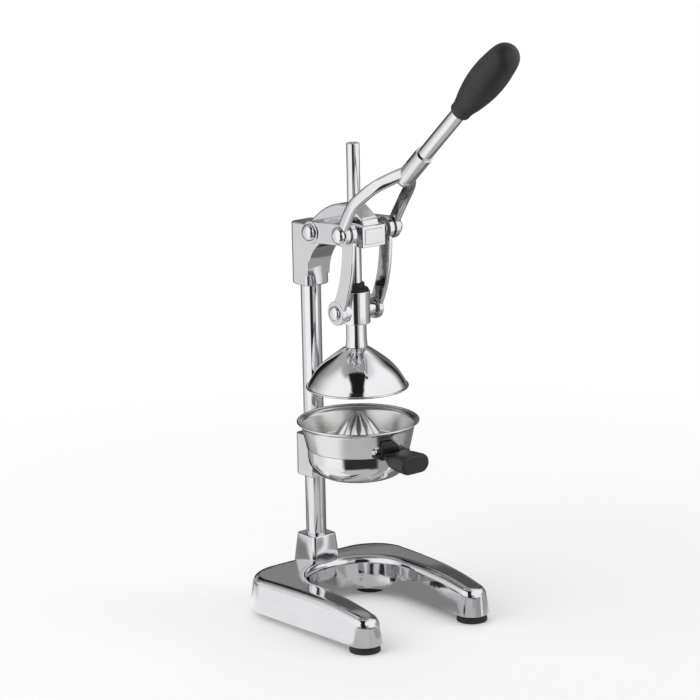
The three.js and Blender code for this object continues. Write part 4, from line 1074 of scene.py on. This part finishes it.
# Shares of the reamer's height and of its radius
REAMER_LINE = ((0, 1), (0.25, 0.86), (0.5, 0.66), (0.72, 0.44), (0.88, 0.24), (0.97, 0.09), (1, 0))


def make_reamer():
    """Fluted cone on a disc, with ribs that run together at the point."""
    disc_top = REAMER_FOOT + REAMER_DISC
    line = flowing([(REAMER_RADIUS * r, disc_top + REAMER_HEIGHT * z) for z, r in REAMER_LINE], 5)
    cone = [(max(spot.x, 0), spot.y) for spot in line]
    body = turned([(0, REAMER_FOOT), (REAMER_RADIUS, REAMER_FOOT), *cone], 160)
    for vertex in body.data.vertices:
        spot = vertex.co
        turn = Vector((spot.x, spot.y)).angle_signed(Vector((1, 0)), 0)
        wave = abs(sin(REAMER_RIBS / 2 * turn))
        flute = 1 - FLUTE_SHARE * (1 - wave) ** 1.4
        spot.x *= flute
        spot.y *= flute
    joined(body, bar(REAMER_DISC_RADIUS, REAMER_FOOT, disc_top, at(), 120, 0.5))
    cut(body, bar(GRUB_HOLE, REAMER_FOOT - OVERRUN, REAMER_FOOT + 12, at(), 24))
    piece("reamer", body, INSIDE_STEEL)


make_reamer()


def cone_band(low, high, inside, outside):
    """Wall that hugs the strainer's cone between two heights."""
    return turned([(strainer_radius(low) + inside, low), (strainer_radius(low) + outside, low),
                   (strainer_radius(high) + outside, high), (strainer_radius(high) + inside, high),
                   (strainer_radius(low) + inside, low)], 288)


def stadium(half_wide, half_high, z):
    """Flat-sided oval across X, as points of an outline at a height."""
    line = arc((half_wide - half_high, z), half_high, -90, 90, 14)
    return line + arc((half_high - half_wide, z), half_high, 90, 270, 14)


# A front outline's first number runs along X and its second up Z; it is made solid along -Y
FRONT = Matrix(((1, 0, 0, 0), (0, 0, -1, 0), (0, 1, 0, 0), (0, 0, 0, 1)))
# How far forward the tools run that cut a piece out of a band on the strainer's front
FRONT_REACH = (40, 80)

# Bent strap along the wall, with a round button at its end
outline = [spot + Vector((-8.5, 0)) for spot in stadium(15.5, 3.8, STRAP_Z)]
body = cut(cone_band(STRAP_Z - STRAP_HALF, STRAP_Z + STRAP_HALF, GAP, 1.9),
           plate(outline, *FRONT_REACH, FRONT), operation="INTERSECT")
lay = at(-20.2, -54.5, STRAP_Z) @ Matrix.Rotation(radians(20), 4, "Z") @ Matrix.Rotation(pi / 2, 4, "X")
joined(body, turned(arc((0, 0), 3.4, -90, 90, 18, 2.6), 40, lay))
piece("strap", softened(body, 0.35, 2, 50), TURNED_CHROME)


def make_bowl_grip():
    """Moulded grip: a saddle along the wall, a tab that stands on it, and the oval grip in front."""
    low, edge, high = SADDLE[0], STRAINER_FOOT + 12, STRAINER_FOOT + 18.9
    outline = [(-16.4, low), (8.2, low), (5.2, edge), (-1.2, high), (-16.4, high)]
    tab = cut(turned([(strainer_radius(low) + 2.2, low), (strainer_radius(edge) + 4.8, low),
                      (strainer_radius(edge) + 5, edge), (strainer_radius(high) + 2.7, high),
                      (strainer_radius(high) + 2.2, high), (strainer_radius(low) + 2.2, low)], 288),
              plate(outline, *FRONT_REACH, FRONT), operation="INTERSECT")
    plan = eased([(-23, 30), (-23, 60.6, 3), (23, 60.6, 3), (23, 30)], closed=True)
    saddle = cut(cone_band(*SADDLE, 0.8, 20), plate(plan, *SADDLE, Matrix.Scale(-1, 4, (0, 1, 0))),
                 operation="INTERSECT")
    rings = []
    for share, inset, y in ((0.86, 2.2, GRIP_BACK), (0.86, 0.6, GRIP_BACK + 0.7), (0.86, 0, GRIP_BACK + 2.4),
                            (0.95, 0, 80), (1, 0, GRIP_FRONT - 2.6), (1, 0.7, GRIP_FRONT - 0.8),
                            (1, 2.6, GRIP_FRONT)):
        oval = stadium(18.6 * share - inset, 10.4 * share - inset, GRIP_Z)
        rings.append([Vector((spot.x, -y, spot.y)) for spot in oval])
    neck_end = -GRIP_BACK - 2
    neck = [(-59.4, SADDLE[0]), (-59.4, SADDLE[1]), (neck_end, SADDLE[1]), (neck_end, SADDLE[1] - 10)]
    body = joined(tab, saddle, lofted(rings), plate(neck, -GRIP_NECK_HALF, GRIP_NECK_HALF, SIDE))
    smoothed(body, 0.5, 5)
    piece("strainer_handle", body, BOWL_GRIP_BLACK, angle=180)


make_bowl_grip()


# Nodes whose own shape is right keep it, and all take the zinc plate finish
for node, thing in frame["nodes"].items():
    if node not in dressed:
        thing.data.materials.clear()
        thing.data.materials.append(FASTENER)


# Studio

# The camera: its angles, focal length in pixels of the photograph, distance and aim in millimetres
AZIMUTH = radians(-37.96)
ELEVATION = radians(14.09)
ROLL = radians(1.14)
FOCAL = 3000
DISTANCE = 3196.57
PICTURE = 700
AIM_PIXEL = (356.7, 389.37)
AIM = Vector((0, 0, 250))
SENSOR = 36


def make_camera():
    """Camera at the photograph's angle; the aim point stands at its own pixel of the frame."""
    back = Vector((sin(AZIMUTH) * cos(ELEVATION), -cos(AZIMUTH) * cos(ELEVATION), sin(ELEVATION)))
    right = Vector((cos(AZIMUTH), sin(AZIMUTH), 0))
    up = back.cross(right)
    size = DISTANCE / FOCAL
    target = AIM - right * (AIM_PIXEL[0] - PICTURE / 2) * size + up * (AIM_PIXEL[1] - PICTURE / 2) * size
    place = TO_FRAME @ (target + back * DISTANCE)
    level, rise = right * cos(ROLL) - up * sin(ROLL), right * sin(ROLL) + up * cos(ROLL)
    lens = bpy.data.cameras.new("camera")
    lens.sensor_width = SENSOR
    lens.lens = SENSOR * FOCAL / PICTURE
    lens.clip_end = 50
    camera = placed("camera", lens)
    camera.matrix_world = Matrix((
        (level.x, rise.x, back.x, place.x), (level.y, rise.y, back.y, place.y),
        (level.z, rise.z, back.z, place.z), (0, 0, 0, 1)))
    bpy.context.scene.camera = camera


# The lamps and the room are in metres. This is the height that the lamps face.
MIDDLE_HEIGHT = 0.25


def around(azimuth, elevation, distance):
    """A place round the press: azimuth in degrees from the camera's side, positive to its right."""
    turn = AZIMUTH - pi / 2 + radians(azimuth)
    flat = distance * cos(radians(elevation))
    return Vector((flat * cos(turn), flat * sin(turn), MIDDLE_HEIGHT + distance * sin(radians(elevation))))


def softbox(name, azimuth, elevation, distance, width, height, power):
    """Large lamp that faces the press."""
    lamp = bpy.data.lights.new(name, "AREA")
    lamp.shape = "RECTANGLE"
    lamp.size, lamp.size_y = width, height
    lamp.energy = power
    place = around(azimuth, elevation, distance)
    turn = (place - Vector((0, 0, MIDDLE_HEIGHT))).to_track_quat("Z", "Y")
    placed(name, lamp).matrix_world = Matrix.Translation(place) @ turn.to_matrix().to_4x4()


# What the chrome mirrors, as tones from black to white on a closed dome. A patch lies between two
# azimuths and two elevations in degrees, and its last number is how softly its edge fades. A later one
# lies over the ones before it.
ROOM_TONE = 1.04
PATCHES = (
    # Ceiling, floor and the wall at the far left
    ((-180, 180), (62, 140), 0.76, 14),
    ((-180, 180), (-140, -64), 0.5, 10),
    ((-214, -108), (-14, 90), 0.2, 60),
    # Cards to the left
    ((-124, -88), (-22, 8), 0.8, 10),
    ((-112, -52), (-62, -30), 0.96, 12),
    ((-130, -112), (-42, -28), 0.25, 7),
    ((-124, -56), (58, 74), 0.4, 8),
    # Cards to the right
    ((88, 132), (-62, 8), 0.4, 10),
    ((18, 78), (-90, -14), 0.36, 9),
    # Cards behind
    ((146, 214), (-80, 28), 0.24, 7),
    ((-178, -124), (-84, 4), 0.26, 8),
    ((-158, -128), (-44, -14), 0.5, 8),
    ((-188, -136), (-48, -22), 0.02, 6),
    ((-188, -148), (-28, -13), 0.02, 5),
    ((126, 167), (-80, 2), 0.18, 7),
    ((131, 173), (-2, 40), 0.2, 20),
    ((160, 186), (10, 30), 0.08, 8),
    ((-188, -136), (6, 46), 0.1, 8),
    ((164, 186), (4, 38), 0.1, 8),
    ((142, 154), (0, 30), 0.015, 8),
    ((-150, -112), (34, 64), 0.45, 18),
    ((-158, -138), (-4, 34), 0.012, 8),
    ((138, 168), (50, 72), 1.04, 6),
    # Cards round the camera
    ((-4, 32), (-20, 22), 0.42, 10),
    ((-60, 44), (-90, -42), 0.54, 6),
    ((-26, 12), (-24, 40), 0.02, 10),
    ((-46, 42), (-40, -22), 0.03, 11))
# Cards that hang over the press, each between two places across and two away, as shares of its height
# over the press. They count above a tilt in degrees.
OVERHEAD = (
    ((-0.36, 0.3), (-2.4, 0.2), 0.34, 0.08),
    ((-0.40, 0.25), (0.19, 1.3), 0.012, 0.06))
OVERHEAD_FROM = 20
# The dome lies on the floor below a tilt in degrees, and widens over so many degrees above it
FLOOR_TILT = -44
WIDENS_OVER = 64
NEAR_REACH = 0.36
ADDED_REACH = 0.42


def laid_over(tone, laid, depth):
    """A tone with another laid over it; the depth runs from 0 outside a soft edge to 1 inside it."""
    cover = min(max(depth, 0), 1)
    return tone + (laid - tone) * cover * cover * (3 - 2 * cover)


def room_tone(turn, tilt):
    """Tone of the dome in one direction."""
    tone = ROOM_TONE
    for (start, end), (low, high), laid, soft in PATCHES:
        middle, half = (start + end) / 2, (end - start) / 2
        beside = half - abs((turn - middle + 180) % 360 - 180)
        tone = laid_over(tone, laid, min(beside, tilt - low, high - tilt) / soft + 0.5)
    if tilt > OVERHEAD_FROM:
        over = 1 / tan(radians(tilt))
        side, away = over * sin(radians(turn)), over * cos(radians(turn))
        for (left, right), (back, front), laid, soft in OVERHEAD:
            depth = min(side - left, right - side, away - back, front - away)
            tone = laid_over(tone, laid, depth / soft + 0.5)
    return tone


def room_reach(tilt):
    """Distance of the dome at a tilt."""
    if tilt < FLOOR_TILT:
        return MIDDLE_HEIGHT / sin(radians(-tilt))
    share = min((tilt - FLOOR_TILT) / WIDENS_OVER, 1)
    return NEAR_REACH + ADDED_REACH * share * share * (3 - 2 * share)


def make_room():
    """The dome round the press. Only polished surfaces see it."""
    turns = range(-180, 181, 3)
    tilts = [-89, -83, -77, -72, -67, -63, -59, -55, -52, -49, -46, *range(-43, 90, 3)]
    points, tones, faces = [], [], []
    for tilt in tilts:
        for turn in turns:
            spot = around(turn, tilt, room_reach(tilt))
            points.append((spot.x, spot.y, max(spot.z, 0.001)))
            tones.append(room_tone(turn, tilt))
    wide = len(turns)
    for row in range(len(tilts) - 1):
        for column in range(wide - 1):
            start = row * wide + column
            faces.append((start, start + 1, start + wide + 1, start + wide))
    mesh = bpy.data.meshes.new("room")
    mesh.from_pydata(points, [], faces)
    mesh.attributes.new("tone", "FLOAT", "POINT").data.foreach_set("value", tones)
    f = material("room")
    tone = f.node("ShaderNodeAttribute", {"attribute_name": "tone"}, output="Fac")
    f.node("ShaderNodeOutputMaterial", None, {
        "Surface": f.node("ShaderNodeEmission", None, {"Color": tone, "Strength": 1.0})})
    mesh.materials.append(f.owner)
    walls = placed("room", mesh)
    walls.visible_camera = walls.visible_diffuse = walls.visible_shadow = walls.visible_transmission = False


def seen_ray(f):
    """1 for the rays that should meet the white background: camera, mirror and glass."""
    rays = [f.node("ShaderNodeLightPath", output=name)
            for name in ("Is Camera Ray", "Is Glossy Ray", "Is Transmission Ray")]
    return f.node("ShaderNodeClamp", None, {"Value": rays[0] + rays[1] + rays[2]})


WHITE = (1, 1, 1, 1)
FLOOR_RADIUS = 6.0
FLOOR_DROP = 0.0002
FLOOR_PAINT = (0.92, 0.92, 0.92, 1)
# The painted floor runs out into the white backdrop between these distances
FLOOR_FADE = (0.35, 1.1)


def make_world():
    world = bpy.data.worlds.new("studio")
    bpy.context.scene.world = world
    f = Finish(world)
    light = f.node("ShaderNodeBackground", None, {"Color": WHITE, "Strength": 0.5})
    white = f.node("ShaderNodeBackground", None, {"Color": WHITE, "Strength": 1.0})
    f.node("ShaderNodeOutputWorld", None, {
        "Surface": f.node("ShaderNodeMixShader", None, {0: seen_ray(f), 1: light, 2: white})})


def make_floor():
    steps = 96
    rim = []
    for k in range(steps):
        turn = tau * k / steps
        rim.append((FLOOR_RADIUS * cos(turn), FLOOR_RADIUS * sin(turn), -FLOOR_DROP))
    mesh = bpy.data.meshes.new("floor")
    mesh.from_pydata(rim, [], [list(range(steps))])
    f = material("pale_floor")
    paint = f.node("ShaderNodeBsdfDiffuse", None, {"Color": FLOOR_PAINT})
    lift = f.node("ShaderNodeEmission", None, {"Color": WHITE, "Strength": seen_ray(f) * 0.14})
    near = f.node("ShaderNodeAddShader", None, {0: paint, 1: lift})
    far = f.node("ShaderNodeEmission", None, {"Color": WHITE, "Strength": 0.6 + seen_ray(f) * 0.4})
    away = f.node("ShaderNodeVectorMath", {"operation": "LENGTH"}, {0: f.place()}, 1)
    runs_out = f.node("ShaderNodeMapRange", {"interpolation_type": "SMOOTHSTEP"}, {
        "Value": away, "From Min": FLOOR_FADE[0], "From Max": FLOOR_FADE[1]})
    f.node("ShaderNodeOutputMaterial", None, {
        "Surface": f.node("ShaderNodeMixShader", None, {0: runs_out, 1: near, 2: far})})
    mesh.materials.append(f.owner)
    placed("floor", mesh)


make_camera()
make_world()
make_floor()
softbox("key_softbox", -72, 40, 2.3, width=2.4, height=2.2, power=22)
softbox("fill_softbox", 92, 30, 2.4, width=1.4, height=2.0, power=10)
softbox("top_softbox", 170, 66, 2.3, width=1.6, height=1.6, power=9)
make_room()
bpy.context.scene.view_settings.view_transform = "Standard"
